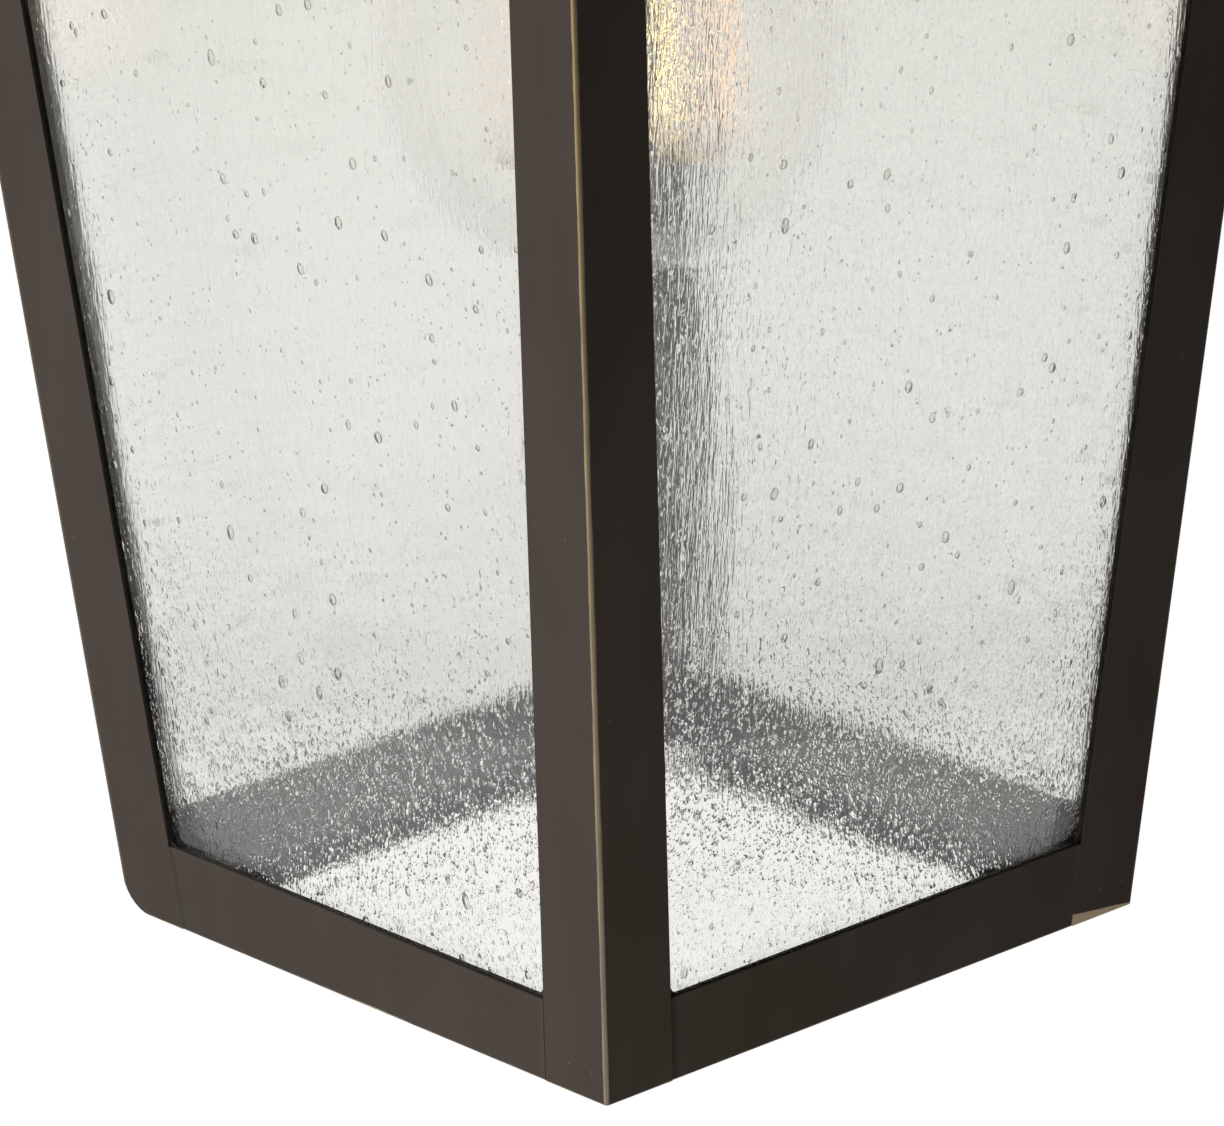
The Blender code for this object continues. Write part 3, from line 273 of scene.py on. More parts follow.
def make_stage():
    """Pale studio: a plain floor far below the lantern and soft light."""
    look = Look("studio", world=True)
    strength = studio_strength(look, studio_light(look, look.coord))
    seen = look.add("ShaderNodeLightPath").outputs["Is Camera Ray"]
    tone = look.mix(seen, WARM_WHITE, WHITE)
    background = look.add("ShaderNodeBackground", None, Color=tone, Strength=strength)
    look.tree.links.new(background.outputs[0], look.out.inputs["Surface"])
    bpy.context.scene.world = look.block

    look = Look("floor")
    place = look.add("ShaderNodeNewGeometry").outputs["Position"]
    away = look.vector("NORMALIZE", look.vector("SUBTRACT", place, BODY_MIDDLE))
    light = look.calc("MULTIPLY", studio_light(look, away), FLOOR_SHARE)
    glow = look.add("ShaderNodeEmission", None, Color=WHITE, Strength=studio_strength(look, light))
    look.tree.links.new(glow.outputs[0], look.out.inputs["Surface"])
    bm = bmesh.new()
    bmesh.ops.create_grid(bm, x_segments=2, y_segments=2, size=FLOOR_HALF)
    bmesh.ops.translate(bm, vec=(0.0, 0.0, FLOOR_Z), verts=bm.verts)
    mesh = bpy.data.meshes.new("floor")
    bm.to_mesh(mesh)
    bm.free()
    mesh.materials.append(look.block)
    floor = bpy.data.objects.new("floor", mesh)
    bpy.context.scene.collection.objects.link(floor)
    bpy.context.scene.view_settings.view_transform = "Standard"

    lamp = bpy.data.lights.new("under_light", "AREA")
    lamp.shape = "DISK"
    lamp.size = UNDER_LIGHT_SIZE
    lamp.energy = UNDER_LIGHT_POWER
    under = bpy.data.objects.new("under_light", lamp)
    under.location = UNDER_LIGHT_PLACE
    aim = UNDER_LIGHT_AIM - UNDER_LIGHT_PLACE
    under.rotation_euler = aim.to_track_quat("-Z", "Y").to_euler()
    under.visible_camera = False
    under.visible_transmission = False
    under.visible_glossy = False
    bpy.context.scene.collection.objects.link(under)


# ---------------------------------------------------------------- materials

BRONZE_DARK = (0.074, 0.0555, 0.0425)
BRONZE_LIGHT = (0.089, 0.0695, 0.0545)
BRASS_RUB = (0.62, 0.46, 0.24)
# Pale rub low down on edges and ends: partly wear, partly a painted highlight of light from below.
PALE_RUB_AND_HIGHLIGHT = (0.50, 0.42, 0.31)
# Near-white foot rub: bare metal brightened into a painted highlight of light from below on the down-facing
# end.
BARE_FOOT_AND_HIGHLIGHT = (0.95, 0.75, 0.48)
DUST = (0.30, 0.26, 0.22)
# Painted shade and painted highlight where the rails meet the posts
SEAM_PAINTED_SHADE = (0.036, 0.027, 0.021)
SEAM_PAINTED_HIGHLIGHT = (0.140, 0.114, 0.094)
DUST_PER_METRE = (240.0, 240.0, 240.0)
EDGE_BLUR = 0.00010  # half the width over which a worn edge fades


def satin_bronze(name, worn=None, dark=BRONZE_DARK, light=BRONZE_LIGHT, seam_shading=None, low_rub_and_highlight=PALE_RUB_AND_HIGHLIGHT):
    """Dark bronze paint with a soft sheen: faint clouds, fine peel and a few lighter specks of dust.

    worn(look) gives the share that is rubbed through to bare metal: low_rub_and_highlight low down, and brass
    above. The pale low rub is partly wear and partly a painted highlight of light from below.
    seams(look, colour) gives the colour where the piece is soldered: painted shade and a painted highlight at
    the seams.
    """
    look = Look(name)
    clouds = look.noise(38.0, 3.0, 0.55, seed=1.3)
    drift = look.noise((160.0, 160.0, 22.0), 2.0, 0.5, seed=4.1)
    peel = look.noise(1100.0, 2.0, 0.6, seed=2.2)
    tone = look.calc("ADD", look.calc("MULTIPLY", clouds, 0.7), look.calc("MULTIPLY", drift, 0.3))
    shade = look.span(tone, 0.36, 0.64)
    colour = look.mix(shade, dark, light)
    dust = look.nearest_point(look.vector("MULTIPLY", look.coord, DUST_PER_METRE), "3D")
    rare = look.noise(55.0, 1.0, seed=8.8)
    speck = look.calc("MULTIPLY", look.span(dust, 0.035, 0.06, 1.0, 0.0), look.span(rare, 0.56, 0.62))
    colour = look.mix(look.calc("MULTIPLY", speck, 0.35), colour, DUST)
    # Painted shade and painted highlight at the seams, where given
    if seam_shading is not None:
        colour = seam_shading(look, colour)
    uneven = look.calc("ADD", look.calc("MULTIPLY", peel, 0.4), look.calc("MULTIPLY", clouds, 0.6))
    roughness = look.span(uneven, 0.3, 0.7, 0.40, 0.52)
    metal = None
    if worn is not None:
        share = worn(look)
        high = look.axes()[2]
        # Pale low down, where the rub is also a painted highlight of light from below; brass above.
        bare = look.mix(look.span(high, 0.004, 0.15), low_rub_and_highlight, BRASS_RUB)
        colour = look.mix(share, colour, bare)
        metal = look.calc("MULTIPLY", share, 0.35)
        roughness = look.calc("SUBTRACT", roughness, look.calc("MULTIPLY", share, 0.06))
    height = look.calc("ADD", look.calc("MULTIPLY", peel, 0.000003), look.calc("MULTIPLY", clouds, 0.00004))
    return look.shade(
        Base_Color=colour,
        Roughness=roughness,
        Metallic=metal,
        Specular_IOR_Level=0.12,
        Normal=look.bump(height, 0.7),
    )


def post_wear(rubbed, foot_rub_and_highlight=0.0):
    """Wear of a corner post in its own frame: along the outer corner, and along its lower end, whose pale
    colour is also a painted highlight of light from below.

    rubbed is how much of the corner is worn, and foot_rub_and_highlight how high the finish is gone at the
    inner end of the post's left leg, where the near-white colour is also a painted highlight.
    """

    def worn(look):
        x, y, z = look.axes()
        half = look.calc("ADD", look.calc("MULTIPLY", z, TAPER), HALF_SIDE)
        in_x = look.calc("ADD", x, half)
        in_y = look.calc("ADD", y, half)
        inward = look.calc("MAXIMUM", in_x, in_y)
        ragged = look.noise((900.0, 900.0, 110.0), 3.0, 0.6, seed=3.0)
        edge = look.calc("ADD", look.calc("MULTIPLY", ragged, 0.00040), 0.00030)
        past_edge = look.calc("SUBTRACT", inward, edge)
        corner = look.span(past_edge, -1.2 * EDGE_BLUR, 1.2 * EDGE_BLUR, 1.0, 0.0)
        patchy = look.noise((300.0, 300.0, 60.0), 2.0, 0.5, seed=6.0)
        corner = look.calc("MULTIPLY", corner, look.span(patchy, 0.25, 0.5, 0.55 * rubbed, 0.95 * rubbed))
        foot = look.noise(420.0, 2.0, seed=5.0)
        line = look.calc("MULTIPLY", foot, 0.0002)
        if foot_rub_and_highlight:
            slant = look.calc("MULTIPLY", in_y, foot_rub_and_highlight / POST_LEG)
            rough = look.calc("MULTIPLY", look.calc("SUBTRACT", foot, 0.5), 0.0003)
            on_left = look.calc("LESS_THAN", in_x, SHEET / 2)
            line = look.choose(on_left, line, look.calc("ADD", look.calc("ADD", slant, rough), 0.00025))
        # Lower end of the post: wear, coloured pale as a painted highlight of light from below too.
        end = look.span(look.calc("SUBTRACT", z, line), -EDGE_BLUR, EDGE_BLUR, 1.0, 0.0)
        return look.calc("MAXIMUM", corner, look.calc("MULTIPLY", end, 0.9))

    return worn


def rail_wear_and_highlight(look):
    """Wear of a rail along its lower outer edge, which is coloured pale as a painted highlight of light from
    below as well as wear.
    """
    high = look.axes()[2]
    low = look.calc("SUBTRACT", high, look.calc("MULTIPLY", look.noise(300.0, 3.0, seed=7.0), 0.0005))
    edge = look.span(low, -0.8 * EDGE_BLUR, EDGE_BLUR, 1.0, 0.0)
    patchy = look.span(look.noise(70.0, 2.0, seed=9.0), 0.40, 0.60, 0.25, 0.9)
    return look.calc("MULTIPLY", edge, patchy)


def seam_shade_and_highlight(look, colour):
    """A rail's colour where it meets the posts: painted shade at one end and a painted highlight at the
    other.
    """
    x, y, z = look.axes()
    half = look.calc("ADD", look.calc("MULTIPLY", z, TAPER), HALF_SIDE - POST_LEG)
    left = look.calc("ADD", half, x)
    right = look.calc("SUBTRACT", half, x)
    colour = look.mix(look.span(left, 0.0, 0.0014, 0.55, 0.0), colour, SEAM_PAINTED_SHADE)
    return look.mix(look.span(right, 0.0, 0.0013, 0.30, 0.0), colour, SEAM_PAINTED_HIGHLIGHT)


SEED_RIM = "seed_rim"
GLASS_LOW = (0.951, 0.946, 0.918)  # the sheet's colour low down, and higher up, where it is warmer and darker as a painted tint for the bulb's warm light
GLASS_HIGH_PAINTED_WARMTH = (0.938, 0.931, 0.893)
# Painted shade for the seeds' rims, standing in for the dark edge that bent light gives each bubble
GLASS_VEIL = (0.62, 0.62, 0.60)
GLASS_RIM_PAINTED_SHADE = (0.20, 0.20, 0.19)
GLASS_CLEAR = 0.966  # share of light that isn't scattered by the sheet
PIT_STRETCH = 0.55  # pits to a metre of height, for each pit to a metre of width
# Pits of one size: how many to a metre, radius in cells, depth, and the noise below which there are none
PITS = (
    (2000.0, 0.36, 0.000050, 0.495),
    (1050.0, 0.32, 0.000078, 0.51),
    (560.0, 0.25, 0.000105, 0.53),
)
# Waves in the sheet's faces: how many to a metre each way, roughness, height, height added in the busiest
# sheet, and noise seed
WAVES = (
    ((2700.0, 2700.0, 150.0), 0.6, 0.000014, 0.000008, 0.1),
    ((1250.0, 1250.0, 190.0), 0.6, 0.000022, 0.000012, 0.15),
    ((420.0, 420.0, 26.0), 0.5, 0.000028, 0.0, 0.2),
    ((1700.0, 1700.0, 900.0), 0.65, 0.000014, 0.0, 0.3),
    ((330.0, 330.0, 170.0), 0.5, 0.000030, 0.0, 0.4),
)


def pits(look, place, per_metre, reach, depth, share, seed):
    """Height of oval pits of one size, over the part of the glass where noise passes share."""
    where = look.vector("MULTIPLY", place, (per_metre, per_metre * PIT_STRETCH, 0.0))
    where = look.vector("ADD", where, (seed * 3.7, seed * 5.1, 0.0))
    part = look.calc("DIVIDE", look.nearest_point(where, "2D"), reach)
    bowl = look.calc("SUBTRACT", 1.0, look.calc("MULTIPLY", part, part), clamp=True)
    noise = look.noise(0.8, 1.0, seed=seed, at=where)
    chosen = look.span(look.calc("SUBTRACT", noise, share), 0.0, 0.04)
    return look.calc("MULTIPLY", look.calc("MULTIPLY", bowl, chosen), depth)


def seeded_glass(name, busy, seed):
    """Hand-drawn seeded sheet: fine vertical draw lines, a veil of specks, pits, and a grey-green body,
    painted warmer and darker toward the top for the bulb's warm light.

    busy says how much texture the sheet has, from 0 to 1. The rims of the seeds are painted darker, a painted
    shade for the dark edge that bent light gives each bubble.
    """
    look = Look(name)
    x, y, z = look.axes()
    height = None
    for per_metre, roughness, amount, more, number in WAVES:
        wave = look.noise(per_metre, 2.0, roughness, seed=seed + number)
        term = look.calc("MULTIPLY", wave, amount + more * busy)
        height = term if height is None else look.calc("ADD", height, term)
    middle = -(HALF_SIDE - SHEET - GAP - PANE_THICKNESS / 2)
    outer_face = look.calc("LESS_THAN", look.calc("ADD", y, look.calc("MULTIPLY", z, TAPER)), middle)
    place = look.add("ShaderNodeCombineXYZ", None, X=x, Y=z).outputs[0]
    sparse = look.span(z, 0.028, 0.084, 0.0, 0.14)
    deep = look.span(z, 0.026, 0.080, 1.0, 0.5)
    pitted = None
    for k, (per_metre, reach, depth, share) in enumerate(PITS):
        limit = look.calc("ADD", sparse, share - 0.03 * busy)
        pit = pits(look, place, per_metre, reach, depth, limit, seed + 0.5 + 0.1 * k)
        pitted = pit if pitted is None else look.calc("ADD", pitted, pit)
    pitted = look.calc("MULTIPLY", look.calc("MULTIPLY", pitted, deep), outer_face)
    height = look.calc("ADD", height, pitted)
    grain = look.noise((2400.0, 2400.0, 1500.0), 2.0, 0.7, seed=seed + 0.8)
    line = look.noise((2900.0, 2900.0, 130.0), 2.0, 0.6, seed=seed + 0.9)
    shade = look.calc("MULTIPLY", look.span(line, 0.58, 0.76), 0.45 + 0.15 * busy)
    specks = look.calc("MULTIPLY", look.span(grain, 0.42, 0.68), 0.16 + 0.18 * busy)
    # Warmer and darker higher up: a painted tint for the bulb's warm light
    body = look.mix(look.span(z, 0.05, 0.17), GLASS_LOW, GLASS_HIGH_PAINTED_WARMTH)
    tint = look.mix(look.calc("ADD", shade, specks), body, GLASS_VEIL)
    # Painted shade: the seeds' rims are darker, for the dark edge that bent light gives each bubble
    rim = look.add("ShaderNodeAttribute", {"attribute_name": SEED_RIM}).outputs["Fac"]
    tint = look.mix(look.calc("MULTIPLY", rim, 0.7), tint, GLASS_RIM_PAINTED_SHADE)
    return look.shade(
        Base_Color=tint,
        Roughness=0.0,
        IOR=1.50,
        Transmission_Weight=GLASS_CLEAR,
        Normal=look.bump(height),
    )


CLEAR_TINT = (0.995, 0.995, 0.992)


def clear_glass(name):
    """Thin blown glass, with faint ripples from the mould."""
    look = Look(name)
    ripple = look.noise((60.0, 60.0, 30.0), 2.0, 0.5, seed=21.0)
    cord = look.noise((500.0, 500.0, 40.0), 1.0, 0.5, seed=22.0)
    height = look.calc("ADD", look.calc("MULTIPLY", ripple, 0.00006), look.calc("MULTIPLY", cord, 0.000004))
    darker = tuple(c * 0.97 for c in CLEAR_TINT)
    colour = look.mix(look.span(cord, 0.55, 0.75), CLEAR_TINT, darker)
    return look.shade(
        Base_Color=colour,
        Roughness=0.0,
        IOR=1.32,
        Transmission_Weight=1.0,
        Normal=look.bump(height),
    )


def plain_metal(name, colour, roughness=0.3, metallic=1.0, brush=(1600.0, 1600.0, 80.0)):
    """Bare or plated metal with fine tool marks and uneven tarnish."""
    look = Look(name)
    marks = look.noise(brush, 2.0, 0.6, seed=31.0)
    tarnish = look.noise(160.0, 3.0, 0.55, seed=32.0)
    dull = tuple(c * 0.62 for c in colour)
    tone = look.mix(look.span(tarnish, 0.35, 0.7), colour, dull)
    uneven = look.calc("ADD", look.calc("MULTIPLY", marks, 0.5), look.calc("MULTIPLY", tarnish, 0.5))
    rough = look.span(uneven, 0.3, 0.7, roughness * 0.75, roughness * 1.35)
    height = look.calc("MULTIPLY", marks, 0.000004)
    return look.shade(Base_Color=tone, Roughness=rough, Metallic=metallic, Normal=look.bump(height, 0.8))


def soft_plastic(name, colour, roughness=0.45, grain=900.0, bump=0.00001):
    """Moulded plastic, rubber, foam or glazed ceramic, with slight colour drift and a fine skin."""
    look = Look(name)
    skin = look.noise(grain, 3.0, 0.6, seed=41.0)
    drift = look.noise(90.0, 2.0, 0.5, seed=42.0)
    other = tuple(min(1.0, c * 0.8 + 0.01) for c in colour)
    tone = look.mix(look.span(drift, 0.35, 0.65), colour, other)
    rough = look.span(skin, 0.3, 0.7, roughness * 0.85, min(1.0, roughness * 1.2))
    normal = look.bump(look.calc("MULTIPLY", skin, bump))
    return look.shade(Base_Color=tone, Roughness=rough, Normal=normal)


TUNGSTEN = (0.2, 0.16, 0.12)
GLOW_HOT = (1.0, 0.78, 0.38)
GLOW_COOL = (1.0, 0.28, 0.02)
FILAMENT_STRENGTH = 7.5


def glowing_tungsten():
    """Filament wire at yellow-white heat in its inner strands and orange in its outer ones."""
    look = Look("filament_glow")
    x, y, z = look.axes()
    inner = look.span(look.calc("ABSOLUTE", x), FILAMENT_INNER + 0.002, FILAMENT_OUTER - 0.001, 1.0, 0.42)
    cool = look.span(z, FILAMENT_LOW_Z, FILAMENT_LOW_Z + 0.008, 0.10, 1.0)
    cool = look.calc("MULTIPLY", cool, look.span(x, -FILAMENT_OUTER, -FILAMENT_INNER, 0.3, 1.0))
    turns = look.noise(2200.0, 1.0, seed=51.0)
    heat = look.calc("MULTIPLY", look.calc("MULTIPLY", inner, cool), look.span(turns, 0.2, 0.8, 0.75, 1.15))
    return look.shade(
        Base_Color=TUNGSTEN,
        Roughness=0.5,
        Emission_Color=look.mix(inner, GLOW_COOL, GLOW_HOT),
        Emission_Strength=look.calc("MULTIPLY", heat, FILAMENT_STRENGTH),
    )


# ---------------------------------------------------------------- mesh helpers


def stand(name, mesh, material, slot, replaces=(), angle=0.0, body="lantern"):
    """A visible piece, stood on the lantern's upright axis and turned about it by angle."""
    obj = bpy.data.objects.new(name, mesh)
    bpy.context.scene.collection.objects.link(obj)
    mesh.materials.clear()
    mesh.materials.append(material)
    if replaces:
        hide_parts(*replaces)
    obj.location = (0.0, LANTERN_Y, BODY_BASE_Z)
    obj.rotation_euler = (0.0, 0.0, angle)
    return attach(obj, body)


def quarter(turns):
    """The angle of so many quarter turns."""
    return turns * math.pi / 2


def prism(outline, low, high):
    """Mesh of a flat outline in XY, raised from low to high."""
    bm = bmesh.new()
    verts = [bm.verts.new((x, y, low)) for x, y in outline]
    face = bm.faces.new(verts)
    raised = bmesh.ops.extrude_face_region(bm, geom=[face])
    top = [v for v in raised["geom"] if isinstance(v, bmesh.types.BMVert)]
    bmesh.ops.translate(bm, vec=(0.0, 0.0, high - low), verts=top)
    bmesh.ops.recalc_face_normals(bm, faces=bm.faces)
    mesh = bpy.data.meshes.new("prism")
    bm.to_mesh(mesh)
    bm.free()
    return mesh


def across(mesh):
    """Turn a prism so that its outline lies in YZ and its depth is centred on X."""
    mesh.transform(Matrix(((0, 0, 1, 0), (1, 0, 0, 0), (0, 1, 0, 0), (0, 0, 0, 1))))
    xs = [v.co.x for v in mesh.vertices]
    mesh.transform(Matrix.Translation((-(min(xs) + max(xs)) / 2, 0.0, 0.0)))
    return mesh


def lean(mesh):
    """Spread a straight piece of the body outward with height, along the taper."""
    for vertex in mesh.vertices:
        shift = TAPER * vertex.co.z
        vertex.co.x += math.copysign(shift, vertex.co.x)
        vertex.co.y += math.copysign(shift, vertex.co.y)
    return mesh


ROUNDING_STEPS = 3


def round_edges(mesh, pick):
    """Round a mesh's edges by the radius that pick(edge) gives."""
    bm = bmesh.new()
    bm.from_mesh(mesh)
    groups = {}
    for edge in bm.edges:
        radius = pick(edge)
        if radius:
            groups.setdefault(radius, []).append(edge)
    for radius in sorted(groups, reverse=True):
        edges = [e for e in groups[radius] if e.is_valid]
        bmesh.ops.bevel(
            bm,
            geom=edges,
            offset=radius,
            segments=ROUNDING_STEPS,
            profile=0.5,
            affect="EDGES",
            clamp_overlap=True,
        )
    for face in bm.faces:
        face.smooth = True
    bm.to_mesh(mesh)
    bm.free()
    return mesh


def keep_flat(obj):
    """Smooth shading that stays crisp over flat faces."""
    mod = obj.modifiers.new("flat faces", "WEIGHTED_NORMAL")
    mod.keep_sharp = True
    mod.weight = 100


def is_crease(edge):
    """Whether the faces on both sides of an edge meet at more than CREASE_ANGLE."""
    return len(edge.link_faces) == 2 and edge.calc_face_angle(0.0) >= CREASE_ANGLE


# ---------------------------------------------------------------- cage

CREASE_ANGLE = 0.6
ARRIS_RADIUS = 0.00045
SHEET_RADIUS = 0.00022
SEAM_RADIUS = 0.00010
FOOT_RADIUS = 0.0048
FOOT_STEPS = 7
FOOT_RUB_AND_HIGHLIGHT_HEIGHT = 0.0015  # how high the near-white foot reaches on the post at the back right: finish gone, and a painted highlight
LIGHT_WEAR = 0.2
BEAD_RISE = 0.00012  # how far the bead stands out past the metal
BEAD_WIDTH = 0.0016
BEAD_CORNER = 0.0018
BEAD_CORNER_STEPS = 6


def rounded_foot(mesh):
    """Round off the lower outer corner of a straight post."""
    bm = bmesh.new()
    bm.from_mesh(mesh)
    for i in range(FOOT_STEPS):
        angle = math.pi / 2 * (i + 0.5) / FOOT_STEPS
        side = math.cos(angle)
        down = math.sin(angle)
        away = FOOT_RADIUS * (side + down - 1.0)
        normal = Vector((-side, -side, -down))
        length = normal.length
        point = Vector((-HALF_SIDE, -HALF_SIDE, 0.0)) - normal / length * (away / length)
        everything = list(bm.verts) + list(bm.edges) + list(bm.faces)
        cut = bmesh.ops.bisect_plane(
            bm, geom=everything, plane_co=point, plane_no=normal / length, clear_outer=True
        )
        rim = [e for e in cut["geom_cut"] if isinstance(e, bmesh.types.BMEdge)]
        bmesh.ops.holes_fill(bm, edges=rim, sides=0)
    bmesh.ops.recalc_face_normals(bm, faces=bm.faces)
    bm.to_mesh(mesh)
    bm.free()
    return mesh


def build_posts():
    """Corner posts folded to an L, with their outer corner rounded and worn."""
    a = HALF_SIDE
    outline = [
        (-a, -a),
        (-a + POST_LEG, -a),
        (-a + POST_LEG, -a + SHEET),
        (-a + SHEET, -a + SHEET),
        (-a + SHEET, -a + POST_LEG),
        (-a, -a + POST_LEG),
    ]

    def radius_of(edge):
        if not is_crease(edge):
            return 0.0
        middle = (edge.verts[0].co + edge.verts[1].co) / 2
        upright = abs(edge.verts[0].co.z - edge.verts[1].co.z) > 0.1
        half = HALF_SIDE + TAPER * middle.z
        corner = upright and max(middle.x + half, middle.y + half) < 0.0003
        return ARRIS_RADIUS if corner else SHEET_RADIUS

    finishes = {
        "front_right": satin_bronze("post_paint_rubbed", post_wear(1.0)),
        # The post at the back right gets a near-white foot: bare metal made brighter as a painted highlight.
        "back_right": satin_bronze(
            "post_paint_bare_foot", post_wear(LIGHT_WEAR, FOOT_RUB_AND_HIGHLIGHT_HEIGHT), low_rub_and_highlight=BARE_FOOT_AND_HIGHLIGHT
        ),
        "back_left": satin_bronze("post_paint", post_wear(LIGHT_WEAR)),
    }
    finishes["front_left"] = finishes["back_left"]
    for turns, corner in enumerate(CORNERS):
        straight = prism(outline, 0.0, BODY_HEIGHT)
        if corner == "front_left":
            straight = rounded_foot(straight)
        mesh = round_edges(lean(straight), radius_of)
        name = "post_" + corner
        keep_flat(stand(name + "_folded", mesh, finishes[corner], "post_bronze", [name], quarter(turns)))


def rail_mesh(z_low, flange_low):
    """A rail with its flange turned inward, at its lower edge or at its upper one."""
    a = HALF_SIDE
    z_high = z_low + RAIL_HEIGHT
    if flange_low:
        outline = [
            (-a, z_low),
            (-a + RAIL_FLANGE, z_low),
            (-a + RAIL_FLANGE, z_low + SHEET),
            (-a + SHEET, z_low + SHEET),
            (-a + SHEET, z_high),
            (-a, z_high),
        ]
    else:
        outline = [
            (-a, z_low),
            (-a + SHEET, z_low),
            (-a + SHEET, z_high - SHEET),
            (-a + RAIL_FLANGE, z_high - SHEET),
            (-a + RAIL_FLANGE, z_high),
            (-a, z_high),
        ]
    return lean(across(prism(outline, 0.0, 2 * (a - POST_LEG))))


def rail_radius(edge):
    """Soft edges along a rail, and a finer one where its ends are soldered to the posts."""
    if not is_crease(edge):
        return 0.0
    along = abs(edge.verts[0].co.x - edge.verts[1].co.x) > 0.01
    return SHEET_RADIUS if along else SEAM_RADIUS


def bead_outline():
    """Inner outline of the bead in (x, z), with rounded corners."""
    low = RAIL_HEIGHT + BEAD_RISE + BEAD_CORNER
    high = BODY_HEIGHT - RAIL_HEIGHT - BEAD_RISE - BEAD_CORNER
    side = HALF_SIDE - POST_LEG - BEAD_RISE - BEAD_CORNER
    outline = []
    for corner, (cx, cz) in enumerate(((side, high), (-side, high), (-side, low), (side, low))):
        for i in range(BEAD_CORNER_STEPS + 1):
            angle = quarter(corner + i / BEAD_CORNER_STEPS)
            outline.append((cx + BEAD_CORNER * math.cos(angle), cz + BEAD_CORNER * math.sin(angle)))
    return outline


def bead_mesh():
    """Square-section ring round the opening."""
    out = HALF_SIDE - SHEET / 2
    back = HALF_SIDE - SHEET - GAP * 0.9
    outline = bead_outline()
    outside = []
    for x, z in outline:
        up = BEAD_WIDTH if z > BODY_HEIGHT / 2 else -BEAD_WIDTH
        outside.append((x + math.copysign(BEAD_WIDTH, x), z + up))
    bm = bmesh.new()
    rings = []
    for ring, depth in ((outline, out), (outside, out), (outside, back), (outline, back)):
        rings.append([bm.verts.new((x, -depth, z)) for x, z in ring])
    for first, second in zip(rings, rings[1:] + rings[:1]):
        for i in range(len(outline)):
            n = (i + 1) % len(outline)
            bm.faces.new((first[i], first[n], second[n], second[i]))
    bmesh.ops.recalc_face_normals(bm, faces=bm.faces)
    mesh = bpy.data.meshes.new("bead")
    bm.to_mesh(mesh)
    bm.free()
    return lean(mesh)


def build_beads():
    """Dark glazing bead that seals each pane to the cage, round the opening."""
    black = soft_plastic("glazing_bead_black", (0.008, 0.0065, 0.0055), 0.55, 1400.0, 0.00002)
    for turns, side in enumerate(SIDES):
        stand("glazing_bead_" + side, bead_mesh(), black, "gasket_foam", angle=quarter(turns))


def build_rails():
    """Bottom and top rails between the posts."""
    # Rails: painted shade and highlight at the seams, and a pale lower edge that is partly a painted
    # highlight.
    paint = satin_bronze("rail_paint", rail_wear_and_highlight, seam_shading=seam_shade_and_highlight)
    top_paint = satin_bronze("top_rail_paint")
    for turns, side in enumerate(SIDES):
        for name, low, flange_low, material in (
            ("bottom_rail_" + side, 0.0, True, paint),
            ("top_rail_" + side, BODY_HEIGHT - RAIL_HEIGHT, False, top_paint),
        ):
            mesh = round_edges(rail_mesh(low, flange_low), rail_radius)
            keep_flat(stand(name + "_folded", mesh, material, "rail_bronze", [name], quarter(turns)))


# ---------------------------------------------------------------- seeded panes

GRID_STEP = 0.0014
WANDER = 0.00016  # most that the pane's faces wander inward
WANDER_WAVES = ((3, 2, 1.0), (7, 4, 0.5), (16, 7, 0.22), (34, 12, 0.10))  # waves across, along, weight
SEED_CLEARANCE = 0.00035
DEEPEST_SEED = PANE_THICKNESS / 2 - WANDER - SEED_CLEARANCE
SEED_MARGIN = 0.0015  # no seed's middle is nearer the pane's edge
# Seeds of one kind: rings and segments of their mesh, how many, least and largest radius, least distance
# apart, how much thicker they lie toward the foot, and least and largest depth as a share of the radius
SEEDS = (
    (3, 12, 300, 0.00028, 0.00080, 0.0030, 1.35, 0.10, 0.26),
    (2, 6, 3300, 0.00010, 0.00026, 0.0006, 2.4, 0.08, 0.45),
)
FIRST_RANDOM_SEED = 700
FIRST_NOISE_SEED = 11.0
BUSY = {"front": 0.0, "right": 1.0, "back": 0.4, "left": 0.6}  # how much texture each pane has


def smooth_field(rng, count_u, count_v, waves):
    """A gentle random surface from 0 to 1 over a grid, as a sum of long waves."""
    u = np.linspace(0.0, 1.0, count_u)[None, :]
    v = np.linspace(0.0, 1.0, count_v)[:, None]
    total = np.zeros((count_v, count_u))
    for across_waves, along_waves, weight in waves:
        for _ in range(4):
            fu = rng.uniform(0.4, 1.0) * across_waves
            fv = rng.uniform(0.4, 1.0) * along_waves * rng.choice((-1.0, 1.0))
            total += weight * np.sin(2 * np.pi * (fu * u + fv * v) + rng.uniform(0.0, 2 * np.pi))
    total -= total.min()
    return total / total.max()


LENS_SPREAD = 0.7  # under 1, the rings of a lens lie closer toward its rim
BY_RIM = 0.25  # rim share of the ring next to the rim


